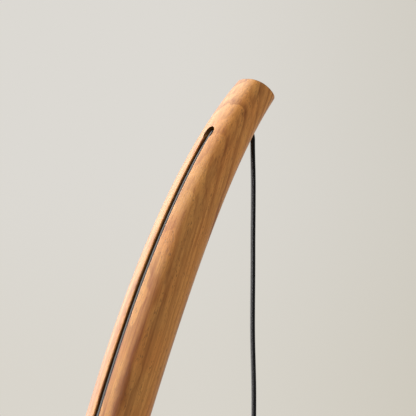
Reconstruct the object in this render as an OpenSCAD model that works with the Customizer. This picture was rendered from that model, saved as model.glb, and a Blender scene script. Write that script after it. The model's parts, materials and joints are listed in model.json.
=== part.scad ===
// Floor lamp: a bent wooden arm on a weighted base, with a shade hung on its own cord from the tip.
// Millimetres, +Z up. The origin is on the floor under the middle of the base, and the arm leans to +X.

/* [Arm] */
// Length of the arm along its centreline
arm_length = 1800; // [1600:10:2000]
// Angle of the tip above the horizontal
tip_angle = 44.4; // [40:0.2:50]
// Extra turn of the hook at the top
hook_turn = 18.3; // [12:0.1:22]
// Distance in which the hook straightens out
hook_reach = 132; // [100:1:170]
// Depth of the arm, front to back, below its taper
arm_depth = 56.4; // [52:0.2:64]
// Width of the arm, side to side, below its taper
arm_width = 64.8; // [60:0.2:74]
// Depth of the arm at the tip
tip_depth = 38.2; // [36:0.2:46]
// Width of the arm at the tip
tip_width = 44; // [40:0.2:52]
// Length of the tapered top
taper_length = 340; // [260:10:480]
// Squareness of the oval section, where 2 is an ellipse
section_power = 2.3; // [2:0.1:3]
// Rounding of the end of the tip
tip_round = 3; // [1:0.5:5]
// Distance along the arm from the tip to the joint of its two sections
joint_distance = 820; // [700:10:1000]

/* [Groove] */
// Width of the cord groove at its mouth
groove_width = 7; // [6.6:0.1:9]
// Depth of the cord groove
groove_depth = 8; // [7:0.1:10]
// Distance from the tip at which the cord turns out of the groove
groove_end = 77; // [60:1:100]
// Diameter of the hole through the arm
hole_diameter = 9.5; // [8.5:0.1:12]
// Slope at which the hole rises towards the inner face
hole_rise = 4; // [0:1:10]

/* [Cord] */
// Diameter of the cord
cord_diameter = 5.4; // [4.8:0.1:5.8]
// Length of cord between the arm and the cord grip
pendant_drop = 400; // [330:5:460]
// Whole turns and parts of a turn in each layer of the put-away coil
coil_turns = 3.75; // [2.75:1:3.75]
// Gap between the turns of the coil
coil_gap = 0.5; // [0.45:0.05:1]

/* [Base] */
// Diameter of the base
base_diameter = 380; // [340:5:460]
// Height of the base
base_height = 32; // [30:1:40]
// Sheet thickness of the cover
cover_wall = 2.5; // [2:0.1:3]
// Rounding of the top edge of the cover
cover_round = 6; // [4:0.5:10]
// Thickness of the ballast
ballast_thickness = 16; // [12:1:17]
// Thickness of the pad
pad_thickness = 3; // [2.5:0.5:5]
// Thickness of the closing plate
plate_thickness = 1.5; // [1:0.1:2]
// Distance of the back of the arm from the rear edge of the base
foot_margin = 22; // [18:1:40]
// Diameter of the bolts that hold the arm
bolt_diameter = 8; // [6:1:8]
// Length of each bolt inside the arm
bolt_reach = 35; // [28:1:45]
// Length of the tapered boot of the lead gland
gland_boot = 32; // [24:1:45]

/* [Shade] */
// Diameter of the shade at its rim
shade_diameter = 320; // [280:5:360]
// Height of the shade
shade_height = 165; // [160:1:190]
// Sheet thickness of the shade
shade_wall = 1.5; // [1.2:0.1:2]
// Diameter of the flat top of the shade
shade_top = 76; // [70:1:90]
// Diameter of the rolled rim
rim_diameter = 4; // [3.5:0.1:6]

/* [Lampholder] */
// Diameter of the lampholder cap
cap_diameter = 42; // [40:0.5:46]
// Height of the lampholder cap
cap_height = 30; // [26:1:36]
// Wall of the lampholder
holder_wall = 2.4; // [2:0.1:3]
// Length of the skirt under the shade
skirt_length = 40; // [34:1:44]
// Height of the cord grip
grip_height = 20; // [16:1:28]

/* [Bulb] */
// Diameter of the globe
globe_diameter = 95; // [80:1:100]
// Length of the bulb from its tip contact to the bottom of the globe
bulb_length = 138; // [130:1:142]
// Diameter of the screw cap
screw_diameter = 26.4; // [26:0.1:26.6]
// Thickness of the glass
glass_wall = 1.2; // [1:0.1:2]

/* [Foot switch] */
// Diameter of the switch
switch_diameter = 62; // [60:1:66]
// Height of the housing
switch_height = 25; // [24:0.5:28]
// Wall of the housing
switch_wall = 2.2; // [2:0.1:2.4]
// Diameter of the button
button_diameter = 32; // [28:0.5:34]
// Height of the button above the housing
button_rise = 5.5; // [5:0.5:8]
// Travel of the button
button_travel = 4; // [2:0.5:4]

/* [Plug] */
// Width of the plug
plug_width = 35; // [32:0.5:38]
// Thickness of the plug
plug_thickness = 14; // [13:0.5:16]
// Length of the body of the plug
plug_length = 36; // [32:1:42]
// Diameter of the contact pins
pin_diameter = 4; // [3.8:0.1:4.2]
// Free length of the pins
pin_length = 19; // [17:0.5:21]
// Distance between the pins
pin_pitch = 19; // [18:0.5:20]

/* [Hidden] */
$fn = 64;

// Colours
wood_colour = "#c68a55";
black_colour = "#202022";
cord_colour = "#161617";
steel_colour = "#a9adb2";
iron_colour = "#55585c";
brass_colour = "#c9a552";
rubber_colour = "#2c2c2e";
white_colour = "#efece4";
ceramic_colour = "#e6e2d8";

// Clearances
seat_gap = 0.3;
fit_gap = 0.1;
cord_gap = 0.3;

// Base levels and radii
base_r = base_diameter / 2;
plate_top = pad_thickness + plate_thickness;
cover_under = base_height - cover_wall;
ballast_top = cover_under - seat_gap;
ballast_bottom = ballast_top - ballast_thickness;
ballast_r = base_r - cover_wall - 1;
plate_r = base_r - cover_wall - seat_gap;
plate_screw_circle = base_r * 0.55;
plate_screw_r = 2;
plate_screw_head = [4, 2];
boss_r = 8;
screw_grip = 8;

// Arm centreline: stations run from the tip (0) to the foot (arm_length)
foot_x = foot_margin + arm_depth / 2 - base_r;
arm_steps = 180;
arm_step = arm_length / arm_steps;
lean_rate = (90 - tip_angle - hook_turn * (1 - exp(-arm_length / hook_reach))) / arm_length;
arm_path = [for (i = arm_steps, p = [foot_x, base_height]; i >= 0;
    p = p + arm_step * heading((i - 0.5) * arm_step), i = i - 1) [i * arm_step, p]];
axis_x = [for (q = arm_path) [q[0], q[1][0]]];
axis_z = [for (q = arm_path) [q[0], q[1][1]]];
arm_sides = 32;
ring_step = 38;
groove_draft = 0.5;
groove_runout = 3;
joint_gap = 0.2;

// Fasteners in the arm
bolt_r = bolt_diameter / 2;
bolt_circle = 14;
bolt_shift = 3;
bolt_head = [bolt_r * 1.6, bolt_diameter];
washer_size = [bolt_r * 2, 1.6];
washer_recess = 6;
insert_wall = 2;
insert_length = 28;
stud_r = 5;
stud_length = 100;
dowel_r = 4;
dowel_length = 50;
dowel_spread = 18;

// Cord route through the arm
cord_r = cord_diameter / 2;
cord_sides = 10;
cord_depth = groove_depth - cord_gap - cord_r;
hole_r = hole_diameter / 2;
turn_in_r = 12;
turn_angle = arm_angle(groove_end);
turn_start = cord_place(groove_end);
hole_z = turn_start[2] + turn_in_r * (cos(hole_rise) - cos(turn_angle));
hole_x = turn_start[0] + turn_in_r * (sin(turn_angle) - sin(hole_rise));
hole_way = [cos(hole_rise), 0, sin(hole_rise)];
inner_face = [for (q = arm_path) let (p = arm_place(q[0], -half_depth(q[0]), 0)) [p[2], p[0]]];
function hole_reach(d, tries) = tries == 0 ? d :
    hole_reach((lookup(hole_z + d * hole_way[2], inner_face) - hole_x) / hole_way[0], tries - 1);
bend_inset = 7.2;
bend_r = 2 * cord_diameter;
bend_start = [hole_x, 0, hole_z] + (hole_reach(arm_depth, 8) - bend_inset) * hole_way;
bend_end = 1;
bend_gap = 0.3;
bend_stop = bend_start + [bend_r * (1 + hole_way[2]), 0, -bend_r * hole_way[0] - bend_end];
pivot = bend_stop - [0, 0, cord_r + bend_gap];

// Cord route through the base
gland_z = 13;
lead_bend_r = 3 * cord_diameter;
foot_cord_x = foot_x - half_depth(arm_length) + cord_depth;
gland_barrel_r = cord_r + 3;
gland_collar = [gland_barrel_r + 2.8, 4];
gland_tip_r = cord_r + 1.3;
gland_root_r = gland_barrel_r + 0.8;
gland_nut_size = [gland_barrel_r + 2.2, 4];
gland_inside = cover_wall + seat_gap + gland_nut_size[1] + 1;
gland_reach = gland_collar[1] + gland_boot;
grommet_r = cord_r + 2.3;
grommet_flange = [grommet_r + 2, 2];
notch_width = 2 * gland_nut_size[0] + 4;
notch_reach = grommet_flange[0] + 1.5;

// Pendant levels, from the cord grip down
grip_top = pivot[2] - pendant_drop;
cap_top = grip_top - grip_height;
cap_bottom = cap_top - cap_height;
cap_r = cap_diameter / 2;
cap_round = 8;
flange = [cap_r + 4, 3];
shade_z = cap_bottom - flange[1];
skirt_r = cap_r - 2;
skirt_in = skirt_r - holder_wall;
collar_height = 8;
nipple_r = 5;
grip_r = [cord_r + 1.8, nipple_r + 2.2];
grip_screw_r = 1.5;
core_height = 14;
core_top = shade_z + flange[1] + collar_height - 1;
core_bottom = core_top - core_height;
core_r = skirt_in - fit_gap * 3;
screw_r = screw_diameter / 2;
shell_in = screw_r + 0.4;
shell_wall = 0.7;
shell_length = 26;
contact_size = [4.5, 2.5];
terminal_spread = 9;
terminal_r = 1.6;
terminal_head = [2.8, 1.6];
cord_end = cap_top - 8;
wire_r = 1.1;
ring_size = [skirt_r + 8, 7];

// Shade profile
shade_r = shade_diameter / 2;
shade_hole = skirt_r + seat_gap;
shade_steps = 18;
dome_reach = shade_r - shade_top / 2;
rim_r = rim_diameter / 2;

// Bulb levels, from its tip contact down
bulb_top = core_bottom - contact_size[1] - 2 * seat_gap;
tip_size = [4, 2];
insulator_height = 4;
cap_start = bulb_top - tip_size[1] - insulator_height;
thread_length = 22;
neck_top = cap_start - thread_length;
neck_r = screw_r + 1;
globe_r = globe_diameter / 2;
globe_z = bulb_top - bulb_length + globe_r;
neck_angle = 65;
column_r = 8;
column_length = 52;

// Mains lead, as offsets from the end of the gland's boot
lead_origin = [-base_r - gland_reach, 0, 0];
switch_at = [-70, -100];
switch_cord_z = 7.8;
boot_length = 20;
floor_z = 3;
lead_a = [[0, 0, gland_z], [-6, 0, gland_z], [-16, -1, 11], [-27, -3, 8], [-38, -7, 5], [-48, -13, 4],
    [-57, -21, 4], [-64, -30, 5], [-68, -38, 7], [-70, -46, switch_cord_z], [-70, -56, switch_cord_z],
    [-70, -68, switch_cord_z], [-70, -80, switch_cord_z]];
coil_height = 4.2;
coil_pitch = cord_diameter + coil_gap;
coil_outer = 43.6;
coil_centre = [-70 + coil_outer, -187];
coil_total = 2 * coil_turns;
coil_ring_count = 24;
coil_start = coil_point(0) + [0, cord_diameter, 0];
coil_stop = coil_point(coil_total) + [0, cord_diameter, 0];
lead_b = [[-70, -120, switch_cord_z], [-70, -138, switch_cord_z], [-70, -155, switch_cord_z],
    [-70, -162, 7], [-70, -169, 5], [-70, -175, coil_height], coil_start];
lead_c_x = coil_centre[0] + coil_outer;
plug_at = [lead_c_x, -116];
plug_cord_z = plug_thickness / 2;
lead_c = [coil_stop, [lead_c_x, -174, coil_height + coil_pitch], [lead_c_x, -164, 9], [lead_c_x, -154, 8],
    [lead_c_x, -145, plug_cord_z], [lead_c_x, -137, plug_cord_z], [lead_c_x, -124, plug_cord_z],
    [lead_c_x, -112, plug_cord_z]];
tie_wall = 0.8;
tie_width = 9;
tie_gap = 0.4;
tie_ease = 1;

// Foot switch levels
switch_r = switch_diameter / 2;
switch_pad_height = 1.5;
tray_floor = 2;
tray_top = 14;
cover_start = tray_top + seat_gap;
switch_shoulder = 5;
switch_top_r = button_diameter / 2 + 6;
button_r = button_diameter / 2;
button_flange = [button_r + 2, 2.2];
button_base = switch_height - switch_wall - seat_gap - button_flange[1];
button_edge = 2.5;
stem_r = 4;
block_size = [24, 18, 7];
block_bottom = switch_pad_height + tray_floor + seat_gap;
block_top = block_bottom + block_size[2];
stem_bottom = block_top + button_travel + 0.4;
spring_r = 6.5;
spring_wire = 0.5;
spring_turns = 4;
screw_circle = 25.6;
post_r = 4;
screw_size = [1.5, 15];
screw_head = [2.8, 1.8];
boot_neck_r = cord_r + 1.2;
boot_root_r = cord_r + 2.6;
boot_tip_r = cord_r + 1;

// Directions and places along the arm
function arm_angle(s) = tip_angle + hook_turn * (1 - exp(-s / hook_reach)) + lean_rate * s;
function heading(s) = [cos(arm_angle(s)), sin(arm_angle(s))];
function arm_point(s) = [lookup(s, axis_x), 0, lookup(s, axis_z)];
function arm_place(s, back, side) = let (a = arm_angle(s))
    arm_point(s) + back * [-sin(a), 0, cos(a)] + side * [0, 1, 0];
function taper(s, tip, full) = full - (full - tip) * pow(max(0, 1 - s / taper_length), 2);
function half_depth(s) = taper(s, tip_depth, arm_depth) / 2;
function half_width(s) = taper(s, tip_width, arm_width) / 2;
function cord_place(s) = arm_place(s, half_depth(s) - cord_depth, 0);

// Evenly spaced values from a to b, no further apart than step
function span(a, b, step) = let (n = max(1, ceil((b - a) / step))) [for (i = [0:n]) a + (b - a) * i / n];
// Stations along the arm, closer together in the hook
function stations(a, b) = let (mid = max(a, 2 * hook_reach))
    concat(a < mid ? span(a, mid, ring_step / 2) : [a], [for (s = span(mid, b, ring_step)) if (s > mid) s]);
function unit(v) = v / norm(v);
function smooth(t) = let (c = min(1, max(0, t))) c * c * (3 - 2 * c);

// One section of the arm, drawn in by inset, with the groove or without it
function bulge(c) = sign(c) * pow(abs(c), 2 / section_power);
function arm_ring(s, inset, grooved) = let (
        hd = half_depth(s) - inset,
        hw = half_width(s) - inset,
        lip = asin(pow(groove_width / 2 / hw, section_power / 2)),
        floor_v = groove_width / 2 - groove_draft,
        crown = hd * pow(1 - pow(floor_v / hw, section_power), 1 / section_power),
        floor_u = grooved ? hd - groove_depth : crown)
    concat(
        [for (k = [0:arm_sides]) let (t = lip + (360 - 2 * lip) * k / arm_sides)
            arm_place(s, hd * bulge(cos(t)), hw * bulge(sin(t)))],
        [arm_place(s, floor_u, -floor_v), arm_place(s, floor_u, floor_v)]);

// Triangles between rings of n points each
function side_faces(m, n) = [for (j = [0:m - 2], k = [0:n - 1])
    let (a = j * n + k, b = j * n + (k + 1) % n)
    each [[a, a + n, b + n], [a, b + n, b]]];

// Flat end of an arm section: one fan each side of the groove and the triangle between them
function arm_end(first) = let (mid = arm_sides / 2, left = arm_sides + 1, right = arm_sides + 2)
    [[for (i = concat([right], [for (k = [0:mid]) k])) first + i],
     [for (i = concat([left], [for (k = [mid:arm_sides]) k])) first + i],
     [first + right, first + mid, first + left]];
function turned(faces) = [for (f = faces) [for (i = [len(f) - 1:-1:0]) f[i]]];

module arm_sweep(rings) {
    n = arm_sides + 3;
    polyhedron(
        points = [for (r = rings) each r],
        faces = concat(arm_end(0), side_faces(len(rings), n), turned(arm_end((len(rings) - 1) * n))));
}

// A round tube along a list of points, with ref a direction that the route never takes.
// The radius r is one value, or a list of one for each point.
function tube_ring(p, i, r, sides, ref) = let (
        t = unit(p[min(i + 1, len(p) - 1)] - p[max(i - 1, 0)]),
        e = unit(cross(ref, t)),
        f = cross(t, e))
    [for (k = [0:sides - 1])
        p[i] + (is_list(r) ? r[i] : r) * (cos(360 * k / sides) * e + sin(360 * k / sides) * f)];

module tube(p, r, sides, ref) {
    last = (len(p) - 1) * sides;
    polyhedron(
        points = [for (i = [0:len(p) - 1]) each tube_ring(p, i, r, sides, ref)],
        faces = concat([[for (k = [0:sides - 1]) k]], side_faces(len(p), sides),
            [[for (k = [sides - 1:-1:0]) last + k]]));
}

// Least gap between a winding's turns, measured between points at least half a turn apart
function least_gap(p, thick, half_turn) = min([for (i = [0:len(p) - 1], j = [i + half_turn:1:len(p) - 1])
    norm(p[i] - p[j])]) - thick;

// Coil: spirals in on the floor, climbs a layer where it reverses, and spirals out on top
function coil_point(turn) = let (
        r = coil_outer - coil_pitch * (turn < coil_turns ? turn : coil_total - turn),
        z = coil_height + coil_pitch * smooth((turn - coil_turns + 0.25) / 0.5),
        a = 180 + 360 * turn)
    [coil_centre[0] + r * cos(a), coil_centre[1] + r * sin(a), z];
coil_points = concat([coil_start],
    [for (i = [0:coil_total * coil_ring_count]) coil_point(i / coil_ring_count)], [coil_stop]);
spring_points = [for (i = [0:spring_turns * 8]) let (a = 45 * i, rise = i / (spring_turns * 8))
    [spring_r * cos(a), spring_r * sin(a), block_top + seat_gap + spring_wire
        + rise * (button_base - block_top - 2 * seat_gap - 2 * spring_wire)]];
echo(coil_least_gap = least_gap(coil_points, cord_diameter, coil_ring_count / 2));
echo(spring_least_gap = least_gap(spring_points, 2 * spring_wire, 4));

// Placers
module at_base_screws() {
    for (a = [45:90:315]) rotate(a) translate([plate_screw_circle, 0, 0]) children();
}
module at_arm_bolts() {
    for (a = [0:120:240])
        translate([foot_x + bolt_shift + bolt_circle * cos(a), bolt_circle * sin(a), 0]) children();
}
module at_arm_joint() {
    translate(arm_point(joint_distance)) rotate([0, 90 - arm_angle(joint_distance), 0]) children();
}
module at_dowels() {
    for (side = [-1, 1]) translate([0, side * dowel_spread, 0]) children();
}
module at_gland() {
    translate([-base_r, 0, gland_z]) rotate([0, -90, 0]) children();
}
module at_pendant() {
    translate([pivot[0], 0, 0]) children();
}
module at_switch() {
    translate(lead_origin + [switch_at[0], switch_at[1], 0]) children();
}
module at_switch_screws() {
    for (a = [0:120:240]) rotate(a) translate([screw_circle, 0, 0]) children();
}
module at_plug() {
    translate(lead_origin + [plug_at[0], plug_at[1], 0]) children();
}

// A ring of rectangular section
module band(inner, outer, bottom, top) {
    translate([0, 0, bottom]) difference() {
        cylinder(r = outer, h = top - bottom);
        translate([0, 0, -1]) cylinder(r = inner, h = top - bottom + 2);
    }
}

// A round rod between two heights
module rod(r, bottom, top) {
    translate([0, 0, bottom]) cylinder(r = r, h = top - bottom);
}

// Base

module base_pad() {
    color(rubber_colour) difference() {
        rod(base_r - 1, 0, pad_thickness);
        at_base_screws() rod(plate_screw_head[0] + 1, -1, pad_thickness + 1);
    }
}

module bottom_plate() {
    color(steel_colour) difference() {
        rod(plate_r, pad_thickness, plate_top);
        at_base_screws() rod(plate_screw_r + fit_gap, 0, plate_top + 1);
    }
}

module plate_screws() {
    color(steel_colour) at_base_screws() {
        rod(plate_screw_head[0], pad_thickness - plate_screw_head[1], pad_thickness);
        rod(plate_screw_r, pad_thickness - 1, ballast_bottom + screw_grip);
    }
}

module ballast() {
    notch_start = foot_cord_x + notch_reach;
    color(iron_colour) difference() {
        union() {
            rod(ballast_r, ballast_bottom, ballast_top);
            at_base_screws() rod(boss_r, plate_top + seat_gap, ballast_bottom + 1);
        }
        at_base_screws() rod(plate_screw_r + fit_gap, 0, ballast_bottom + screw_grip + 1);
        at_arm_bolts() {
            rod(bolt_r + 0.5, 0, base_height);
            rod(washer_size[0] + 0.5, 0, ballast_bottom + washer_recess);
        }
        translate([-base_r - 1, -notch_width / 2, 0])
            cube([base_r + 1 + notch_start, notch_width, base_height]);
    }
}

module base_cover() {
    arc = [for (a = [90:-10:0])
        [base_r - cover_round + cover_round * cos(a), base_height - cover_round + cover_round * sin(a)]];
    inner = base_r - cover_wall;
    color(black_colour) difference() {
        rotate_extrude() polygon(concat([[0, base_height]], arc,
            [[base_r, pad_thickness], [inner, pad_thickness], [inner, cover_under], [0, cover_under]]));
        at_arm_bolts() rod(bolt_r + 0.5, 0, base_height + 1);
        translate([foot_cord_x, 0, 0]) rod(grommet_r + fit_gap, 0, base_height + 1);
        at_gland() rod(gland_barrel_r + fit_gap, -3 * cover_wall, cover_wall);
    }
}

module arm_washers() {
    seat = ballast_bottom + washer_recess;
    color(steel_colour) at_arm_bolts() band(bolt_r + fit_gap, washer_size[0], seat - washer_size[1], seat);
}

module arm_bolts() {
    under = ballast_bottom + washer_recess - washer_size[1];
    color(steel_colour) at_arm_bolts() difference() {
        union() {
            rod(bolt_head[0], under - bolt_head[1], under);
            rod(bolt_r, under - 1, base_height + bolt_reach);
        }
        translate([0, 0, under - bolt_head[1] - 1]) cylinder(d = bolt_r * 1.8, h = bolt_r + 1, $fn = 6);
    }
}

module arm_inserts() {
    color(brass_colour) at_arm_bolts()
        band(bolt_r + fit_gap, bolt_r + insert_wall, base_height + seat_gap,
            base_height + seat_gap + insert_length);
}

module cord_grommet() {
    color(rubber_colour) translate([foot_cord_x, 0, 0]) {
        band(cord_r + cord_gap + fit_gap, grommet_r, cover_under - 1, base_height);
        band(cord_r + cord_gap + fit_gap, grommet_flange[0], cover_under - grommet_flange[1], cover_under);
    }
}

module lead_gland() {
    bore = cord_r + cord_gap;
    color(rubber_colour) at_gland() rotate_extrude() polygon([
        [bore, -gland_inside], [gland_barrel_r, -gland_inside], [gland_barrel_r, seat_gap],
        [gland_collar[0], seat_gap], [gland_collar[0], gland_collar[1]], [gland_root_r, gland_collar[1]],
        [gland_tip_r, gland_reach], [bore, gland_reach]]);
}

module gland_nut() {
    bottom = -cover_wall - seat_gap - gland_nut_size[1];
    color(steel_colour) at_gland() translate([0, 0, bottom]) difference() {
        rotate(30) cylinder(r = gland_nut_size[0], h = gland_nut_size[1], $fn = 6);
        rod(gland_barrel_r + fit_gap, -1, gland_nut_size[1] + 1);
    }
}

// Arm

module arm_lower() {
    rings = [for (s = stations(joint_distance + joint_gap / 2, arm_length)) arm_ring(s, 0, true)];
    color(wood_colour) difference() {
        arm_sweep(rings);
        at_arm_bolts() {
            rod(bolt_r + insert_wall + fit_gap, base_height - 1, base_height + insert_length + 1);
            rod(bolt_r + 0.5, base_height, base_height + bolt_reach + 3);
        }
        at_arm_joint() mirror([0, 0, 1]) joint_holes();
    }
}

module arm_upper() {
    full_groove = groove_end - groove_runout;
    blind_end = full_groove - groove_runout;
    tip_rings = [for (t = [0, 0.3, 1]) arm_ring(t * tip_round, (1 - sqrt(t * (2 - t))) * tip_round, false)];
    plain_rings = [for (s = span(blind_end / 3, blind_end, blind_end / 3)) arm_ring(s, 0, false)];
    groove_rings = [for (s = stations(full_groove, joint_distance - joint_gap / 2)) arm_ring(s, 0, true)];
    color(wood_colour) difference() {
        arm_sweep(concat(tip_rings, plain_rings, groove_rings));
        translate([hole_x, 0, hole_z]) rotate([0, 90 - hole_rise, 0]) rod(hole_r, -arm_depth, arm_depth);
        at_arm_joint() joint_holes();
    }
}

module joint_holes() {
    rod(stud_r + insert_wall + fit_gap, -1, insert_length + 1);
    rod(stud_r + 0.5, 0, stud_length / 2 + 3);
    at_dowels() rod(dowel_r + fit_gap, -1, dowel_length / 2 + 1);
}

module arm_stud() {
    color(steel_colour) at_arm_joint() rod(stud_r, -stud_length / 2, stud_length / 2);
}

module stud_inserts() {
    color(brass_colour) at_arm_joint() for (side = [0, 1]) mirror([0, 0, side])
        band(stud_r + fit_gap, stud_r + insert_wall, seat_gap, seat_gap + insert_length);
}

module arm_dowels() {
    color(wood_colour) at_arm_joint() at_dowels() rod(dowel_r, -dowel_length / 2, dowel_length / 2);
}

// Cord held by the arm and the base

module arm_cord() {
    turn = [for (a = span(hole_rise, turn_angle, 15))
        turn_start + turn_in_r * [sin(turn_angle) - sin(a), 0, cos(a) - cos(turn_angle)]];
    groove = [for (s = stations(groove_end + ring_step / 3, arm_length)) cord_place(s)];
    base_turn = [for (a = [10:16:90])
        [foot_cord_x - lead_bend_r * (1 - cos(a)), 0, gland_z + lead_bend_r * (1 - sin(a))]];
    color(cord_colour) tube(concat([bend_start - (bend_end + bend_gap) * hole_way], turn, groove, base_turn,
        [lead_origin + [0, 0, gland_z]]), cord_r, cord_sides, [0, 1, 0]);
}

// Hanging cord: its bend turns in the hole, and its rounded top end swings under the bend

module cord_bend() {
    bend = [for (a = span(-hole_rise, 90, 15))
        bend_start + bend_r * [sin(a) + sin(hole_rise), 0, cos(a) - cos(hole_rise)]];
    color(cord_colour) tube(concat([bend_start - bend_end * hole_way], bend, [bend_stop]),
        cord_r, cord_sides, [0, 1, 0]);
}

module pendant_cord() {
    dome_angles = [80:-20:20];
    lengths = span(0, pivot[2] - cord_end, 15);
    heights = concat([for (a = dome_angles) cord_r * sin(a)], -lengths);
    radii = concat([for (a = dome_angles) cord_r * cos(a)], [for (z = lengths) cord_r]);
    color(cord_colour) tube([for (z = heights) pivot + [0, 0, z]], radii, cord_sides, [0, 1, 0]);
}

// Pendant

module cord_grip() {
    bore = cord_r + cord_gap;
    color(black_colour) at_pendant() difference() {
        rotate_extrude() polygon([
            [bore, grip_top], [grip_r[0], grip_top], [grip_r[1], cap_top + grip_height / 3],
            [grip_r[1], cap_top + seat_gap], [nipple_r, cap_top + seat_gap],
            [nipple_r, cap_top - holder_wall - 3], [bore, cap_top - holder_wall - 3]]);
        translate([0, 0, cap_top + grip_height / 4]) rotate([0, 90, 0])
            rod(grip_screw_r + fit_gap, 0, grip_r[1] + 1);
    }
}

module grip_screw() {
    color(steel_colour) at_pendant() translate([0, 0, cap_top + grip_height / 4]) rotate([0, 90, 0])
        rod(grip_screw_r, cord_r + cord_gap, grip_r[1] - 0.2);
}

module holder_cap() {
    middle = [cap_r - cap_round, cap_top - cap_round];
    arc = [for (a = [90:-10:0]) middle + cap_round * [cos(a), sin(a)]];
    inner_arc = [for (a = [0:10:90]) middle + (cap_round - holder_wall) * [cos(a), sin(a)]];
    hole = nipple_r + fit_gap;
    color(black_colour) at_pendant() rotate_extrude() polygon(concat(
        [[hole, cap_top]], arc, [[cap_r, cap_bottom], [cap_r - holder_wall, cap_bottom]],
        inner_arc, [[hole, cap_top - holder_wall]]));
}

module holder_body() {
    collar_r = cap_r - holder_wall - seat_gap;
    color(black_colour) at_pendant() rotate_extrude() polygon([
        [skirt_in, cap_bottom + collar_height], [collar_r, cap_bottom + collar_height],
        [collar_r, cap_bottom], [flange[0], cap_bottom], [flange[0], shade_z], [skirt_r, shade_z],
        [skirt_r, shade_z - skirt_length], [skirt_in, shade_z - skirt_length]]);
}

module holder_core() {
    color(ceramic_colour) at_pendant() difference() {
        rod(core_r, core_bottom, core_top);
        for (side = [-1, 1]) translate([side * terminal_spread, 0, 0])
            rod(terminal_r + fit_gap, core_top - 8, core_top + 1);
    }
}

module terminal_screws() {
    color(brass_colour) at_pendant() for (side = [-1, 1]) translate([side * terminal_spread, 0, 0]) {
        rod(terminal_r, core_top - 7, core_top + 1);
        rod(terminal_head[0], core_top + fit_gap, core_top + terminal_head[1]);
    }
}

module core_wires() {
    color(white_colour) at_pendant() for (side = [-1, 1]) tube([
        [side * 1.3, 0, cord_end - fit_gap], [side * 1.3, 0, cord_end - 2],
        [side * terminal_spread * 0.5, 0, core_top + 6.5], [side * terminal_spread, 0, core_top + 4],
        [side * terminal_spread, 0, core_top + terminal_head[1] + fit_gap]], wire_r, 8, [0, 1, 0]);
}

module screw_shell() {
    top = core_bottom - seat_gap;
    color(brass_colour) at_pendant() band(shell_in, shell_in + shell_wall, top - shell_length, top);
}

module centre_contact() {
    top = core_bottom - seat_gap;
    color(brass_colour) at_pendant() rod(contact_size[0], top - contact_size[1], top);
}

module shade_ring() {
    top = shade_z - shade_wall - seat_gap;
    color(black_colour) at_pendant() band(skirt_r + seat_gap, ring_size[0], top - ring_size[1], top);
}

// The dome is a quarter ellipse from its flat top to its rim, and the sheet is rolled inward there
function dome(t) = [shade_top / 2 + dome_reach * sin(t), shade_z - shade_height * (1 - cos(t))];
function dome_normal(t) = unit([shade_height * sin(t), dome_reach * cos(t)]);
module shade() {
    step = 90 / shade_steps;
    outside = [for (t = span(0, 90 - step, step)) dome(t)];
    inside = [for (t = span(0, 90 - step, step)) dome(90 - step - t) - shade_wall * dome_normal(90 - step - t)];
    roll = 360 - acos((rim_r - shade_wall) / rim_r);
    rim = [for (a = span(0, roll, 24)) dome(90) - [rim_r * (1 - cos(a)), rim_r * sin(a)]];
    color(black_colour) at_pendant() rotate_extrude()
        polygon(concat([[shade_hole, shade_z]], outside, rim, inside, [[shade_hole, shade_z - shade_wall]]));
}

// Bulb

module bulb_tip() {
    color(brass_colour) at_pendant() rod(tip_size[0], bulb_top - tip_size[1], bulb_top);
}

module bulb_insulator() {
    top = bulb_top - tip_size[1];
    color(black_colour) at_pendant() translate([0, 0, top - insulator_height])
        cylinder(r1 = screw_r - 2, r2 = tip_size[0] + 1, h = insulator_height);
}

module bulb_cap() {
    color(steel_colour) at_pendant() difference() {
        rod(screw_r, neck_top, cap_start);
        rod(screw_r - 0.8, neck_top - 1, cap_start - 0.8);
    }
}

module bulb_glass() {
    angles = span(-90, neck_angle, 5);
    outside = [for (a = angles) [globe_r * cos(a), globe_z + globe_r * sin(a)]];
    inner_r = globe_r - glass_wall;
    inside = [for (a = turned([angles])[0]) [inner_r * cos(a), globe_z + inner_r * sin(a)]];
    color(white_colour) at_pendant() rotate_extrude() polygon(concat(outside,
        [[neck_r, neck_top - 4], [neck_r, neck_top - fit_gap], [neck_r - glass_wall, neck_top - fit_gap],
        [neck_r - glass_wall, neck_top - 4]], inside));
}

module led_column() {
    color(white_colour) at_pendant() {
        rod(screw_r - 1.1, neck_top - 2, cap_start - 1.1);
        rod(column_r, neck_top - column_length, neck_top);
    }
}

// Mains lead

module lead_run(route) {
    color(cord_colour) translate(lead_origin) tube(route, cord_r, cord_sides, [0, 0, 1]);
}
module lead_run_a() {
    lead_run(lead_a);
}
module lead_run_b() {
    lead_run(lead_b);
}
module lead_run_c() {
    lead_run(lead_c);
}
module lead_coil() {
    color(cord_colour) translate(lead_origin) tube(coil_points, cord_r, 6, [0, 0, 1]);
}

module coil_tie() {
    inner = coil_outer - coil_pitch * coil_turns - cord_r - tie_ease;
    outer = coil_outer - coil_pitch * 0.75 + cord_r + tie_ease;
    reach = outer - inner;
    rise = coil_pitch + cord_diameter + 2 * tie_gap;
    bottom = coil_height - cord_r - tie_gap;
    corner = [coil_centre[0] - tie_width / 2, coil_centre[1] + inner, bottom];
    color(rubber_colour) translate(lead_origin + corner) difference() {
        translate([0, -tie_wall, -tie_wall])
            cube([tie_width, reach + 2 * tie_wall, rise + 2 * tie_wall]);
        translate([-1, 0, 0]) cube([tie_width + 2, reach, rise]);
    }
}

// Foot switch

module switch_pad() {
    color(rubber_colour) at_switch() rod(switch_r - switch_wall, 0, switch_pad_height);
}

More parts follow.
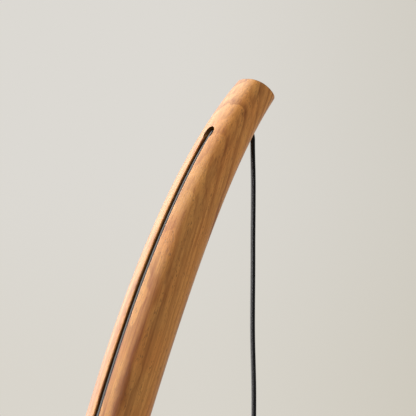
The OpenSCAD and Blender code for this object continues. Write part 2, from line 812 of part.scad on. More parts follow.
module switch_base() {
    floor_top = switch_pad_height + tray_floor;
    color(black_colour) at_switch() difference() {
        union() {
            rod(switch_r, switch_pad_height, floor_top);
            band(switch_r - switch_wall, switch_r, switch_pad_height, tray_top);
            at_switch_screws() rod(post_r, switch_pad_height, tray_top);
        }
        at_switch_screws() {
            rod(screw_size[0] + fit_gap, 0, tray_top + 1);
            rod(screw_head[0] + seat_gap, 0, switch_pad_height + screw_head[1] + seat_gap);
        }
        translate([0, 0, switch_cord_z]) rotate([90, 0, 0])
            rod(boot_neck_r + fit_gap, -switch_r - 1, switch_r + 1);
    }
}

module switch_block() {
    color(white_colour) at_switch() translate([-block_size[0] / 2, -block_size[1] / 2, block_bottom])
        cube(block_size);
}

module button_spring() {
    color(steel_colour) at_switch() tube(spring_points, spring_wire, 6, [0, 0, 1]);
}

module foot_button() {
    top = switch_height + button_rise;
    arc = [for (a = [0:15:90]) [button_r - button_edge + button_edge * cos(a),
        top - button_edge + button_edge * sin(a)]];
    color(black_colour) at_switch() rotate_extrude() polygon(concat(
        [[0, stem_bottom], [stem_r, stem_bottom], [stem_r, button_base], [button_flange[0], button_base],
        [button_flange[0], button_base + button_flange[1]], [button_r, button_base + button_flange[1]]],
        arc, [[0, top]]));
}

module switch_cover() {
    opening = button_r + seat_gap;
    inner = switch_r - switch_wall;
    shoulder = switch_height - switch_shoulder;
    color(black_colour) at_switch() difference() {
        union() {
            rotate(60) rotate_extrude() polygon([[switch_r, cover_start], [switch_r, shoulder],
                [switch_top_r, switch_height], [opening, switch_height],
                [opening, switch_height - switch_wall], [switch_top_r - 1, switch_height - switch_wall],
                [inner, shoulder - 1], [inner, cover_start]]);
            at_switch_screws() rod(post_r, cover_start, shoulder - 2);
        }
        at_switch_screws() rod(screw_size[0] + fit_gap, 0, switch_pad_height + seat_gap + screw_size[1]);
    }
}

module switch_screws() {
    bottom = switch_pad_height + seat_gap;
    color(steel_colour) at_switch() at_switch_screws() {
        rod(screw_head[0], bottom, bottom + screw_head[1]);
        rod(screw_size[0], bottom, bottom + screw_size[1] - seat_gap);
    }
}

module switch_boots() {
    bore = cord_r + cord_gap;
    start = switch_r - switch_wall - 2;
    color(rubber_colour) at_switch() translate([0, 0, switch_cord_z])
        for (side = [0, 1]) mirror([0, side, 0]) rotate([-90, 0, 0]) rotate_extrude() polygon([
            [bore, start], [boot_neck_r, start], [boot_neck_r, switch_r + seat_gap],
            [boot_root_r, switch_r + seat_gap], [boot_tip_r, switch_r + boot_length],
            [bore, switch_r + boot_length]]);
}

// Plug

module plug_body() {
    front = plug_width / 2;
    rear = plug_width / 4;
    color(black_colour) at_plug() difference() {
        union() {
            linear_extrude(plug_thickness) polygon([
                [-rear, 0], [rear, 0], [rear, 4], [front, plug_length * 0.6], [front, plug_length],
                [-front, plug_length], [-front, plug_length * 0.6], [-rear, 4]]);
            translate([0, 0, plug_cord_z]) rotate([90, 0, 0]) translate([0, 0, -1])
                cylinder(r1 = boot_root_r, r2 = boot_tip_r, h = boot_length + 1);
        }
        translate([0, 0, plug_cord_z]) rotate([90, 0, 0]) rod(cord_r + cord_gap, -10, boot_length + 1);
        for (side = [-1, 1]) translate([side * pin_pitch / 2, 0, plug_cord_z]) rotate([-90, 0, 0])
            rod(pin_diameter / 2, plug_length - 12, plug_length + 1);
    }
}

module plug_pins() {
    sleeve = pin_length / 2;
    color(brass_colour) at_plug() for (side = [-1, 1])
        translate([side * pin_pitch / 2, 0, plug_cord_z]) rotate([-90, 0, 0]) {
            rod(pin_diameter / 2 - fit_gap, plug_length - 12, plug_length + sleeve);
            rod(pin_diameter / 2, plug_length + sleeve, plug_length + pin_length);
        }
}

base_pad();
bottom_plate();
plate_screws();
ballast();
base_cover();
arm_washers();
arm_bolts();
arm_inserts();
cord_grommet();
lead_gland();
gland_nut();
arm_lower();
arm_upper();
arm_stud();
stud_inserts();
arm_dowels();
arm_cord();
cord_bend();
pendant_cord();
cord_grip();
grip_screw();
holder_cap();
holder_body();
holder_core();
terminal_screws();
core_wires();
screw_shell();
centre_contact();
shade_ring();
shade();
bulb_tip();
bulb_insulator();
bulb_cap();
bulb_glass();
led_column();
lead_run_a();
switch_pad();
switch_base();
switch_block();
button_spring();
foot_button();
switch_cover();
switch_screws();
switch_boots();
lead_run_b();
lead_coil();
coil_tie();
lead_run_c();
plug_body();
plug_pins();
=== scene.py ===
# %% [markdown]
# # A floor lamp with a bent wooden arm
# The lamp is a thick oval arm of oiled wood that stands on a weighted disc and leans over in a
# hook. Its flex lies in a groove along the back of the arm, goes through the tip and carries the
# shade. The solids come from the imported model; this lesson dresses them, one step at a time.

# %% Load the lamp
import json
from functools import partial
from math import acos, asin, atan2, ceil, copysign, cos, degrees, exp, hypot, pi, radians, sin, tau

import bmesh
import bpy
from mathutils import Matrix, Vector


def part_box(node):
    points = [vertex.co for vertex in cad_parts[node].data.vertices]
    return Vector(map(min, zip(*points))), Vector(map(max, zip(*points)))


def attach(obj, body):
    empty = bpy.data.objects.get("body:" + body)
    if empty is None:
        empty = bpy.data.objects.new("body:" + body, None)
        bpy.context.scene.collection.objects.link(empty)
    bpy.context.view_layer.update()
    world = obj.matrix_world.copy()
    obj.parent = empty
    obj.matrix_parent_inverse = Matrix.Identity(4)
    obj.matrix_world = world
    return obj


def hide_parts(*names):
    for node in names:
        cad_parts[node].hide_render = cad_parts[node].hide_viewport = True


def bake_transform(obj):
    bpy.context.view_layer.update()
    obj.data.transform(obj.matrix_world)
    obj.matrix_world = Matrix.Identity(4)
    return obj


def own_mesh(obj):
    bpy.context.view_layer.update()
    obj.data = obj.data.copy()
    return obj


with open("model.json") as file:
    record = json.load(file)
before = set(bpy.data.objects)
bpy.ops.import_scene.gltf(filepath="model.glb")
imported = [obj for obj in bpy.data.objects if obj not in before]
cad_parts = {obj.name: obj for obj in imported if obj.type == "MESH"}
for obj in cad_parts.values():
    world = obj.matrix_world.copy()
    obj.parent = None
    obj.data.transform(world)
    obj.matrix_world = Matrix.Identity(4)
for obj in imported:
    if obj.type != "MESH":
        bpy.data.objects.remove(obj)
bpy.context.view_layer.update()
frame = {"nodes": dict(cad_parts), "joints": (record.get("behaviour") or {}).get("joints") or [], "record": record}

scene = bpy.context.scene
scene.view_settings.view_transform = "Standard"

# %% [markdown]
# ## The line of the arm
# Everything hangs on the arm's centreline. It is vertical at the foot, leans steadily, and turns
# over faster near the tip. A curve drawn by eye would do for a picture. Walking up from the foot in
# short steps, each in the direction the arm has there, gives the same line that the solids were
# made on, so that what is inside the arm stays inside.

# %% Walk up the arm
ARM_LENGTH, ARM_DEPTH = 1.8, 0.0564
TIP_ANGLE, HOOK_TURN, HOOK_REACH = 44.4, 18.3, 0.132
BASE_RADIUS, BASE_HEIGHT = 0.19, 0.032
FOOT_MARGIN = 0.022
foot = Vector((FOOT_MARGIN + ARM_DEPTH / 2 - BASE_RADIUS, 0, BASE_HEIGHT))
lean_rate = (90 - TIP_ANGLE - HOOK_TURN * (1 - exp(-ARM_LENGTH / HOOK_REACH))) / ARM_LENGTH


def arm_angle(s):
    """Angle of the arm above the horizontal, at s metres from the tip."""
    hook = HOOK_TURN * (1 - exp(-s / HOOK_REACH))
    return radians(TIP_ANGLE + hook + lean_rate * s)


STEPS = 900
arm_line = [foot]
for i in range(STEPS):
    a = arm_angle(ARM_LENGTH * (1 - (i + 0.5) / STEPS))
    arm_line.append(arm_line[-1] + Vector((cos(a), 0, sin(a))) * ARM_LENGTH / STEPS)
arm_line.reverse()
print("the arm leans", round(lean_rate, 2), "degrees more in each metre towards the tip")

# %% Places on the arm
ARM_WIDTH = 0.0648
TIP_DEPTH, TIP_WIDTH, TAPER_LENGTH = 0.0382, 0.044, 0.34


def arm_point(s):
    """Point on the centreline at s metres from the tip."""
    i = max(0, min(int(s / ARM_LENGTH * STEPS), STEPS - 1))
    return arm_line[i].lerp(arm_line[i + 1], s / ARM_LENGTH * STEPS - i)


def arm_place(s, back, side):
    """A point at station s, so far out of the back and so far to the side of the centreline."""
    a = arm_angle(s)
    return arm_point(s) + Vector((-sin(a) * back, side, cos(a) * back))


def taper(s, tip, full):
    return full - (full - tip) * max(0, 1 - s / TAPER_LENGTH) ** 2


def half_depth(s):
    return taper(s, TIP_DEPTH, ARM_DEPTH) / 2


def half_width(s):
    return taper(s, TIP_WIDTH, ARM_WIDTH) / 2


tip = arm_point(0)
print("tip", [round(v, 4) for v in tip], "foot", [round(v, 4) for v in foot])

# %% [markdown]
# ## The camera
# The picture is a close-up of the top of the arm, taken level from behind and to one side with a
# long lens. Fixing where the tip falls in the picture and how many pixels a metre takes there gives
# the place and the lens of the camera directly, with no trial and error.

# %% Set up the camera
PICTURE = 416
TIP_PIXEL = (256.18, 90.11)
PIXELS_PER_METRE = 945.6
CAMERA_DISTANCE, SENSOR = 3.0, 36
SIDE_TURN = radians(43.3)
UP = Vector((0, 0, 1))
look = Vector((sin(SIDE_TURN), cos(SIDE_TURN), 0))
right = Vector((cos(SIDE_TURN), -sin(SIDE_TURN), 0))
aim = (tip + right * ((PICTURE / 2 - TIP_PIXEL[0]) / PIXELS_PER_METRE)
       + UP * ((TIP_PIXEL[1] - PICTURE / 2) / PIXELS_PER_METRE))


def put_in_scene(name, data):
    """A new object in the scene, for a mesh, a curve, a light or a camera."""
    made = bpy.data.objects.new(name, data)
    scene.collection.objects.link(made)
    return made


camera = put_in_scene("camera", bpy.data.cameras.new("camera"))
camera.data.sensor_width = SENSOR
camera.data.lens = SENSOR * CAMERA_DISTANCE * PIXELS_PER_METRE / PICTURE
camera.data.clip_start, camera.data.clip_end = 0.05, 60
camera.location = aim - look * CAMERA_DISTANCE
camera.rotation_euler = look.to_track_quat("-Z", "Y").to_euler()
scene.camera = camera
print("camera at", [round(v, 3) for v in camera.location], "lens", round(camera.data.lens, 1))

# %% [markdown]
# ## Ways to make a mesh
# Two ways of making a mesh serve nearly the whole lamp. A turned piece is a profile spun about a
# line, as on a lathe. A swept piece is one ring of points, extruded from station to station. Both
# are finished the same way: doubles merged, normals pointing out, smooth shading with the true
# corners kept sharp.

# %% Finish a mesh
MERGE_WITHIN = 1e-6
SHARP, ROUNDED = 35, 50


def finish_mesh(bm, name, sharp=SHARP):
    """Make an object of a bmesh, with smooth faces and corners sharp from that many degrees."""
    bmesh.ops.remove_doubles(bm, verts=bm.verts, dist=MERGE_WITHIN)
    bmesh.ops.recalc_face_normals(bm, faces=bm.faces)
    mesh = bpy.data.meshes.new(name)
    bm.to_mesh(mesh)
    bm.free()
    mesh.shade_smooth()
    mesh.set_sharp_from_angle(angle=radians(sharp))
    return put_in_scene(name, mesh)


# %% Turn a profile
MM = 0.001


def turn(bm, profile, place=Matrix.Identity(4), closed=False, steps=96):
    """Spin (radius, height) points, in millimetres, about the Z axis of place."""
    before = set(bm.verts)
    verts = [bm.verts.new((r * MM, 0, z * MM)) for r, z in profile]
    ends = verts[1:] + verts[:1] if closed else verts[1:]
    edges = [bm.edges.new(pair) for pair in zip(verts, ends)]
    bmesh.ops.spin(bm, geom=verts + edges, axis=(0, 0, 1), cent=(0, 0, 0), angle=tau,
                   steps=steps, use_merge=True)
    bmesh.ops.transform(bm, matrix=place, verts=[v for v in bm.verts if v not in before])


def turned(name, profile, place=Matrix.Identity(4), closed=False, steps=96):
    bm = bmesh.new()
    turn(bm, profile, place, closed, steps)
    return finish_mesh(bm, name)


def arc(middle, radius, start, stop, steps=8):
    """Points of an arc in a profile, between two angles in degrees."""
    angles = [radians(start + (stop - start) * i / steps) for i in range(steps + 1)]
    return [(middle[0] + radius * cos(a), middle[1] + radius * sin(a)) for a in angles]


# %% Sweep a ring
def extrude_ring(bm, ring, points):
    """Extrude a closed ring of vertices, and move the new ring to its own points."""
    edges = [bm.edges.get(pair) for pair in zip(ring, ring[1:] + ring[:1])]
    made = bmesh.ops.extrude_edge_only(bm, edges=edges)["geom"]
    new = {v for v in made if isinstance(v, bmesh.types.BMVert)}
    following = [next(e.other_vert(v) for e in v.link_edges if e.other_vert(v) in new) for v in ring]
    for v, p in zip(following, points):
        v.co = p
    return following


def sweep(bm, rings):
    """A body through a list of rings, closed at both ends. Gives back its rings of vertices."""
    ring = [bm.verts.new(p) for p in rings[0]]
    first = [bm.edges.new(pair) for pair in zip(ring, ring[1:] + ring[:1])]
    bmesh.ops.contextual_create(bm, geom=first)
    placed = [ring]
    for points in rings[1:]:
        ring = extrude_ring(bm, ring, points)
        placed.append(ring)
    last = [bm.edges.get(pair) for pair in zip(ring, ring[1:] + ring[:1])]
    bmesh.ops.contextual_create(bm, geom=last)
    return placed


def swept(name, rings):
    bm = bmesh.new()
    sweep(bm, rings)
    return finish_mesh(bm, name)


# %% Rings of a tube
def tube_rings(route, radius, sides, ref=Vector((0, 1, 0))):
    """Round rings along a route that never runs along ref."""
    rings = []
    angles = [k * tau / sides for k in range(sides)]
    for i, p in enumerate(route):
        t = (route[min(i + 1, len(route) - 1)] - route[max(i - 1, 0)]).normalized()
        e = ref.cross(t).normalized()
        f = t.cross(e)
        rings.append([p + radius * (cos(a) * e + sin(a) * f) for a in angles])
    return rings


print("ways to make a mesh: turn and sweep")

# %% [markdown]
# ## The flex
# The same black flex, 5.4 mm thick, runs through the whole lamp. It lies in the groove, turns into
# a slightly rising hole near the tip, bends down out of the inner face and hangs straight under the
# shade's weight. A tube swept along the route keeps its roundness through the bends. The hanging
# stretch is its own piece, because it swings, and it bends smoothly between the flex in the hole
# and the pendant.

# %% Lay the flex in the groove
CORD_RADIUS, CORD_GAP = 2.7 * MM, 0.3 * MM
GROOVE_DEPTH, GROOVE_END = 8 * MM, 0.078
CORD_DEPTH, CORD_LIFT = GROOVE_DEPTH - CORD_GAP - CORD_RADIUS, 0.8 * MM
TIP_LIFT, FOOT_LIFT = 0.03, 0.1


def smooth(t):
    """A soft step from 0 to 1."""
    t = min(1, max(0, t))
    return t * t * (3 - 2 * t)


def cord_place(s):
    """The flex lies on the floor of the groove at both ends, and just below the surface between them."""
    lift = CORD_LIFT * smooth((s - GROOVE_END) / TIP_LIFT) * smooth((ARM_LENGTH - s) / FOOT_LIFT)
    return arm_place(s, half_depth(s) - CORD_DEPTH + lift, 0)


below = CORD_DEPTH - CORD_LIFT - CORD_RADIUS
print("the flex lies", round(below / MM, 1), "mm below the surface")

# %% Find the hole
TURN_IN, HOLE_RISE = 0.012, radians(4)
BEND_RADIUS = 4 * CORD_RADIUS
BEND_INSET, BEND_END = 7.8 * MM, 1 * MM
FACE_STEP, FACE_STEPS = 0.1, 2000


def on_bend(start, radius, from_angle, to_angle):
    """The point reached from start by an arc that turns down from one heading to another."""
    return start + radius * Vector((sin(from_angle) - sin(to_angle), 0,
                                    cos(to_angle) - cos(from_angle)))


turn_angle = arm_angle(GROOVE_END)
turn_start = cord_place(GROOVE_END)
hole = on_bend(turn_start, TURN_IN, turn_angle, HOLE_RISE)
hole_way = Vector((cos(HOLE_RISE), 0, sin(HOLE_RISE)))


def where_hole_meets(side):
    """The point where the line of the hole goes through the outer (1) or inner (-1) face."""
    stations = [i * FACE_STEP * MM for i in range(FACE_STEPS)]
    face = [arm_place(s, side * half_depth(s), 0) for s in stations]
    return min(face, key=lambda p: (p - hole).cross(hole_way).length)


outer_face, inner_face = where_hole_meets(1), where_hole_meets(-1)
bend_start = inner_face - BEND_INSET * hole_way
joints = {joint["name"]: joint for joint in frame["joints"]}
swing_at = Vector(joints["cord_swing_fore_aft"]["pos_m"])

# %% Sweep the flex that the arm holds
LEAD_BEND = 6 * CORD_RADIUS
GLAND_HEIGHT, GLAND_REACH = 13 * MM, 36 * MM
RING_STEP, BEND_STEPS, CORD_SIDES = 6 * MM, 12, 20
lead_start = Vector((-BASE_RADIUS - GLAND_REACH, 0, GLAND_HEIGHT))
route = [bend_start - BEND_END * hole_way]
for i in range(BEND_STEPS + 1):
    heading = HOLE_RISE + (turn_angle - HOLE_RISE) * i / BEND_STEPS
    route.append(on_bend(turn_start, TURN_IN, turn_angle, heading))
groove_steps = int((ARM_LENGTH - GROOVE_END) / RING_STEP)
route += [cord_place(GROOVE_END + i * RING_STEP) for i in range(1, groove_steps)]
foot_turn = (cord_place(ARM_LENGTH).x - LEAD_BEND, GLAND_HEIGHT + LEAD_BEND)
route += [Vector((x, 0, z)) for x, z in arc(foot_turn, LEAD_BEND, 0, -90, BEND_STEPS)]
route.append(lead_start)
groove_cord = swept("groove_cord", tube_rings(route, CORD_RADIUS, CORD_SIDES))
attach(groove_cord, "lamp")
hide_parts("arm_cord")
print("groove cord rings", len(route))

# %% Sweep the hanging flex
HANG_STEP, MOUTH_STEPS = 4 * MM, 18
hang = [bend_start - BEND_END * hole_way]
for i in range(MOUTH_STEPS + 1):
    heading = HOLE_RISE - (HOLE_RISE + pi / 2) * i / MOUTH_STEPS
    hang.append(on_bend(bend_start, BEND_RADIUS, HOLE_RISE, heading))
hang_top = hang[-1]
drop = hang_top.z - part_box("pendant_cord")[0].z
plumb = swing_at.x
lean = Vector((plumb - hang_top.x, 0, 0))
bends = [(0, 0), (0.05, 0.7), (0.12, 0.2), (0.2, -0.4), (0.27, 0.7), (0.34, 0.2), (drop, 0)]


def sway(z):
    """How far the flex strays to the right, z metres down: it keeps a little of its old bends."""
    (z0, a), (z1, b) = next(pair for pair in zip(bends, bends[1:]) if z <= pair[1][0])
    return (a + (b - a) * smooth((z - z0) / (z1 - z0))) * MM


for i in range(1, int(drop / HANG_STEP) + 1):
    z = i * HANG_STEP
    hang.append(hang_top - UP * z + right * sway(z) + lean * smooth(z / drop))
hanging_cord = swept("hanging_cord", tube_rings(hang, CORD_RADIUS, CORD_SIDES))
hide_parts("cord_bend", "pendant_cord")
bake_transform(hanging_cord)

# %% [markdown]
# ## The mains lead
# The lead leaves the base at the back, passes through a foot switch, and ends in a plug. What isn't
# needed is wound up and held by a tie. A curve through a few given points with a round bevel is
# a lead already: Blender keeps it smooth and as thick everywhere. The coil is two layers of a flat
# spiral, in and out again.

# %% Wind the coil
SWITCH_LINE, COIL_AT = -70, -187
COIL_TURNS, COIL_OUTER, COIL_PITCH, COIL_HEIGHT = 3.75, 43.6, 5.9, 4.2
TURN_POINTS = 16
coil_centre = Vector((SWITCH_LINE + COIL_OUTER, COIL_AT, 0))


def coil_point(turns):
    """A point of the coil, in millimetres: inwards on the floor, then outwards on top of that."""
    inward = turns if turns < COIL_TURNS else 2 * COIL_TURNS - turns
    r, a = COIL_OUTER - COIL_PITCH * inward, pi + tau * turns
    z = COIL_HEIGHT + COIL_PITCH * smooth((turns - COIL_TURNS + 0.25) / 0.5)
    return coil_centre + Vector((r * cos(a), r * sin(a), z))


coil = [coil_point(i / TURN_POINTS) for i in range(int(2 * COIL_TURNS * TURN_POINTS) + 1)]
print("coil turns", 2 * COIL_TURNS, "points", len(coil))

# %% Lay out the lead
lead_origin = Vector((lead_start.x, 0, 0))
plug_line = coil_centre.x + COIL_OUTER
to_switch = [(0, 0, 13), (-6, 0, 13), (-16, -1, 11), (-27, -3, 8), (-38, -7, 5), (-48, -13, 4),
             (-57, -21, 4), (-64, -30, 5), (-68, -38, 7)]
through_switch = [(-46, 7.8), (-56, 7.8), (-68, 7.8), (-80, 7.8), (-100, 7.8), (-120, 7.8), (-138, 7.8)]
to_coil = [(-155, 7.8), (-162, 7), (-169, 5), (-175, 4.2), (-181.6, 4.2)]
to_plug = [(-181.6, 10.1), (-174, 10.1), (-164, 9), (-154, 8), (-145, 7), (-137, 7), (-124, 7), (-112, 7)]
lead = to_switch + [(SWITCH_LINE, y, z) for y, z in through_switch + to_coil]
lead += coil + [(plug_line, y, z) for y, z in to_plug]
lead = [lead_origin + Vector(p) * MM for p in lead]
curve = bpy.data.curves.new("mains_lead", "CURVE")
curve.dimensions = "3D"
curve.bevel_depth = 1
curve.bevel_resolution = 5
curve.resolution_u = 3
curve.use_fill_caps = True
spline = curve.splines.new("BEZIER")
spline.bezier_points.add(len(lead) - 1)
for point, p in zip(spline.bezier_points, lead):
    point.co, point.radius = p, CORD_RADIUS
    point.handle_left_type = point.handle_right_type = "AUTO"
mains_lead = put_in_scene("mains_lead", curve)
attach(mains_lead, "lamp")
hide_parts("lead_run_a", "lead_run_b", "lead_coil", "lead_run_c")

# %% [markdown]
# ## Ways to make a material
# Node trees are easier to read when a node, its settings and its links are made in one line. A
# value that is a socket is linked, and any other value is set on the socket itself.

# %% Write nodes in one line each
def feed(tree, node, inputs):
    """Link the values that are sockets to a node, and set the others on it."""
    for key, value in dict(inputs).items():
        if isinstance(value, bpy.types.NodeSocket):
            tree.links.new(value, node.inputs[key])
        else:
            node.inputs[key].default_value = value


def add(tree, kind, inputs=(), **settings):
    made = tree.nodes.new(kind)
    for key, value in settings.items():
        setattr(made, key, value)
    feed(tree, made, inputs)
    return made


# %% Sums, soft steps, noise and mixed colours
def calc(tree, operation, a, b=0.5, clamp=False):
    return add(tree, "ShaderNodeMath", {0: a, 1: b}, operation=operation, use_clamp=clamp).outputs[0]


def remap(tree, value, low, high, to_low=0.0, to_high=1.0):
    """A soft step from one value to another, as the input goes from low to high."""
    ends = {"Value": value, "From Min": low, "From Max": high, "To Min": to_low, "To Max": to_high}
    return add(tree, "ShaderNodeMapRange", ends, interpolation_type="SMOOTHSTEP").outputs[0]


def stretched_noise(tree, vector, scale, detail=2.0, roughness=0.5):
    """Noise with its own scale along each axis, from 0 to 1."""
    scaled = add(tree, "ShaderNodeVectorMath", {0: vector, 1: scale}, operation="MULTIPLY").outputs[0]
    look_up = {"Vector": scaled, "Scale": 1.0, "Detail": detail, "Roughness": roughness}
    return add(tree, "ShaderNodeTexNoise", look_up).outputs[0]


def blend_colour(tree, factor, a, b, mode="MIX"):
    ends = {0: factor, 6: a, 7: b}
    return add(tree, "ShaderNodeMix", ends, data_type="RGBA", blend_type=mode).outputs[2]


# %% Start a group or a material
VEC, VAL, COL = "NodeSocketVector", "NodeSocketFloat", "NodeSocketColor"


def new_group(name, inputs, outputs):
    """An empty node group with named sockets, its input node and its output node."""
    tree = bpy.data.node_groups.new(name, "ShaderNodeTree")
    for label, kind, default in inputs:
        socket = tree.interface.new_socket(label, in_out="INPUT", socket_type=kind)
        if default is not None:
            socket.default_value = default
    for label, kind in outputs:
        tree.interface.new_socket(label, in_out="OUTPUT", socket_type=kind)
    return tree, tree.nodes.new("NodeGroupInput"), tree.nodes.new("NodeGroupOutput")


def new_material(name, constants=()):
    """A material with a Principled shader whose plain values are set on its sockets."""
    material = bpy.data.materials.new(name)
    material.use_nodes = True
    shader = material.node_tree.nodes["Principled BSDF"]
    feed(material.node_tree, shader, constants)
    return material, material.node_tree, shader


print("ways to make a material: groups of plain nodes")

# %% [markdown]
# ## Plastics, rubber, paint and metal
# These finishes differ in colour, gloss and the size of their texture. One group makes a fine
# speckle with a few soft marks, and each finish places it with its own values. The solids that no
# later step replaces are dressed at once, by the material that the record names for them.

# %% The speckle of moulded and painted surfaces
speckle, speckle_in, speckle_out = new_group(
    "Fine speckle",
    [("Scale", VAL, 900.0), ("Base", COL, (0.02, 0.02, 0.02, 1)), ("Worn", COL, (0.05, 0.05, 0.05, 1)),
     ("Gloss", VAL, 0.5), ("Spread", VAL, 0.1)],
    [("Color", COL), ("Gloss", VAL), ("Height", VAL)])
where = add(speckle, "ShaderNodeTexCoord").outputs["Object"]
fine = add(speckle, "ShaderNodeTexNoise",
           {"Vector": where, "Scale": speckle_in.outputs["Scale"], "Detail": 2.0}).outputs[0]
soft = add(speckle, "ShaderNodeTexNoise", {"Vector": where, "Scale": 24.0, "Detail": 4.0}).outputs[0]
rubbed = blend_colour(speckle, remap(speckle, soft, 0.45, 0.75), speckle_in.outputs["Base"],
                      speckle_in.outputs["Worn"])
spread = calc(speckle, "MULTIPLY", calc(speckle, "SUBTRACT", soft, 0.5), speckle_in.outputs["Spread"])
feed(speckle, speckle_out, {"Color": rubbed, "Height": fine,
                            "Gloss": calc(speckle, "ADD", speckle_in.outputs["Gloss"], spread)})
print("speckle nodes", len(speckle.nodes))

# %% Let a pattern make a surface
SPECKLE_DEPTH = 0.1 * MM


def surface(tree, shader, pattern, strength, depth):
    """Let a pattern set colour and roughness, and bend the light as if it stood out by that depth."""
    relief = {"Strength": strength, "Distance": depth, "Height": pattern.outputs["Height"]}
    feed(tree, shader, {"Base Color": pattern.outputs["Color"], "Roughness": pattern.outputs["Gloss"],
                        "Normal": add(tree, "ShaderNodeBump", relief).outputs[0]})


def speckled(name, base, worn, gloss, spread, scale, bump, constants=()):
    material, tree, shader = new_material(name, constants)
    values = {"Scale": scale, "Base": (*base, 1), "Worn": (*worn, 1), "Gloss": gloss, "Spread": spread}
    surface(tree, shader, add(tree, "ShaderNodeGroup", values, node_tree=speckle), bump, SPECKLE_DEPTH)
    return material


# %% Mix the finishes
# Each row: slot, name, base colour, worn colour, roughness, its spread, scale of the speckle, and
# its strength
METAL, GLASS_COAT = {"Metallic": 1.0}, {"Coat Weight": 0.3}
FINISHES = [
    ("cord", "flex sheath", (0.006, 0.006, 0.007), (0.009, 0.009, 0.01), 0.3, 0.04, 1400, 0.03),
    ("black_steel", "powder coat", (0.016, 0.016, 0.017), (0.022, 0.022, 0.023), 0.48, 0.14, 1100, 0.35),
    ("black_plastic", "moulded black", (0.014, 0.014, 0.015), (0.02, 0.02, 0.021), 0.42, 0.12, 1600, 0.2),
    ("rubber", "soft black", (0.022, 0.022, 0.023), (0.034, 0.034, 0.034), 0.7, 0.1, 800, 0.25),
    ("white_plastic", "moulded white", (0.78, 0.77, 0.73), (0.72, 0.70, 0.65), 0.45, 0.1, 900, 0.1),
    ("ceramic", "glazed ceramic", (0.74, 0.72, 0.66), (0.70, 0.67, 0.60), 0.22, 0.06, 300, 0.05),
    ("iron", "cast iron", (0.045, 0.045, 0.048), (0.075, 0.07, 0.065), 0.62, 0.2, 500, 0.6, METAL),
    ("zinc_steel", "zinc plate", (0.56, 0.57, 0.59), (0.50, 0.50, 0.51), 0.32, 0.2, 700, 0.06, METAL),
    ("brass", "brass", (0.78, 0.56, 0.24), (0.66, 0.45, 0.18), 0.28, 0.2, 700, 0.06, METAL),
    ("opal", "opal glass", (0.90, 0.89, 0.85), (0.88, 0.87, 0.83), 0.16, 0.05, 200, 0.02, GLASS_COAT),
]
finishes = {slot: speckled(*row) for slot, *row in FINISHES}
print("finishes", len(finishes))


# %% Dress the flex and the solids
def dress(piece, *materials):
    for material in materials:
        piece.data.materials.append(material)


for piece in (groove_cord, hanging_cord, mains_lead):
    dress(piece, finishes["cord"])
for row in frame["record"]["subparts"]:
    node = frame["nodes"][row["node"]]
    node.data.materials.clear()
    dress(node, finishes.get(row["material_slot"], finishes["white_plastic"]))


def settle(piece, body, slot, *nodes):
    """Dress a finished piece, and let it ride in place of the nodes that it shows."""
    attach(piece, body)
    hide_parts(*nodes)
    if not piece.data.materials:
        dress(piece, finishes[slot])
    print(piece.name, "faces", len(piece.data.polygons))


# %% [markdown]
# ## The wooden arm
# The arm is one oval section, swept from the tip down. Each ring follows the rounded oval, dips
# into the groove at the back, and is drawn in at the tip for the eased end, which is cut a little
# aslant. The lips of the groove are small arcs, so that they catch a line of light. A curve with a
# bevel object could sweep the section too, but it couldn't end the groove short of the tip.

# %% Shape one section of the arm
SECTION_POWER, RING_POINTS = 2.3, 96
GROOVE_WIDTH, FLOOR_HALF = 7 * MM, 3 * MM
LIP_ROUND, LIP_STEPS = 1.1 * MM, 5
TIP_SLANT, SLANT_REACH = 0.13, 0.05


def bulge(c):
    """One coordinate of a rounded oval, from the cosine or sine of its angle."""
    return copysign(abs(c) ** (2 / SECTION_POWER), c)


def arm_ring(s, inset=0.0, grooved=True):
    """The section at station s: the outside from one lip round to the other, then the groove."""
    hd, hw = half_depth(s) - inset, half_width(s) - inset
    mouth = GROOVE_WIDTH / 2 + LIP_ROUND
    lip = asin((mouth / hw) ** (SECTION_POWER / 2))
    outside = []
    for k in range(RING_POINTS + 1):
        t = lip + (tau - 2 * lip) * k / RING_POINTS
        outside.append((hd * bulge(cos(t)), hw * bulge(sin(t))))
    crown, floor = outside[0][0], hd - GROOVE_DEPTH
    half_groove = arc((crown - LIP_ROUND, mouth), LIP_ROUND, 0, -90, LIP_STEPS)[1:]
    half_groove += [(floor + CORD_GAP, FLOOR_HALF + 0.2 * MM), (floor, FLOOR_HALF - 0.4 * MM)]
    if not grooved:
        half_groove = [(hd - (hd - crown) * (v / mouth) ** 2, v) for u, v in half_groove]
    section = outside + [(u, -v) for u, v in half_groove] + half_groove[::-1]
    slant = TIP_SLANT * smooth(1 - s / SLANT_REACH)
    return [arm_place(s + slant * u, u, v) for u, v in section]


print("points in a section", len(arm_ring(ARM_LENGTH)))


# %% Pick out the groove walls, which get painted shade
def groove_walls(rings):
    """The vertices of the groove, below its lips."""
    first = RING_POINTS + LIP_STEPS
    return {v for ring in rings for v in ring[first:len(ring) - LIP_STEPS + 1]}


def mark(bm, verts, index):
    """Give the faces between these vertices another material."""
    for face in bm.faces:
        if verts.issuperset(face.verts):
            face.material_index = index


# %% Sweep both sections
def steps_between(a, b, step):
    """Stations from a to b, evenly spaced and no further apart than step."""
    n = max(1, ceil((b - a) / step))
    return [a + (b - a) * i / n for i in range(n + 1)]


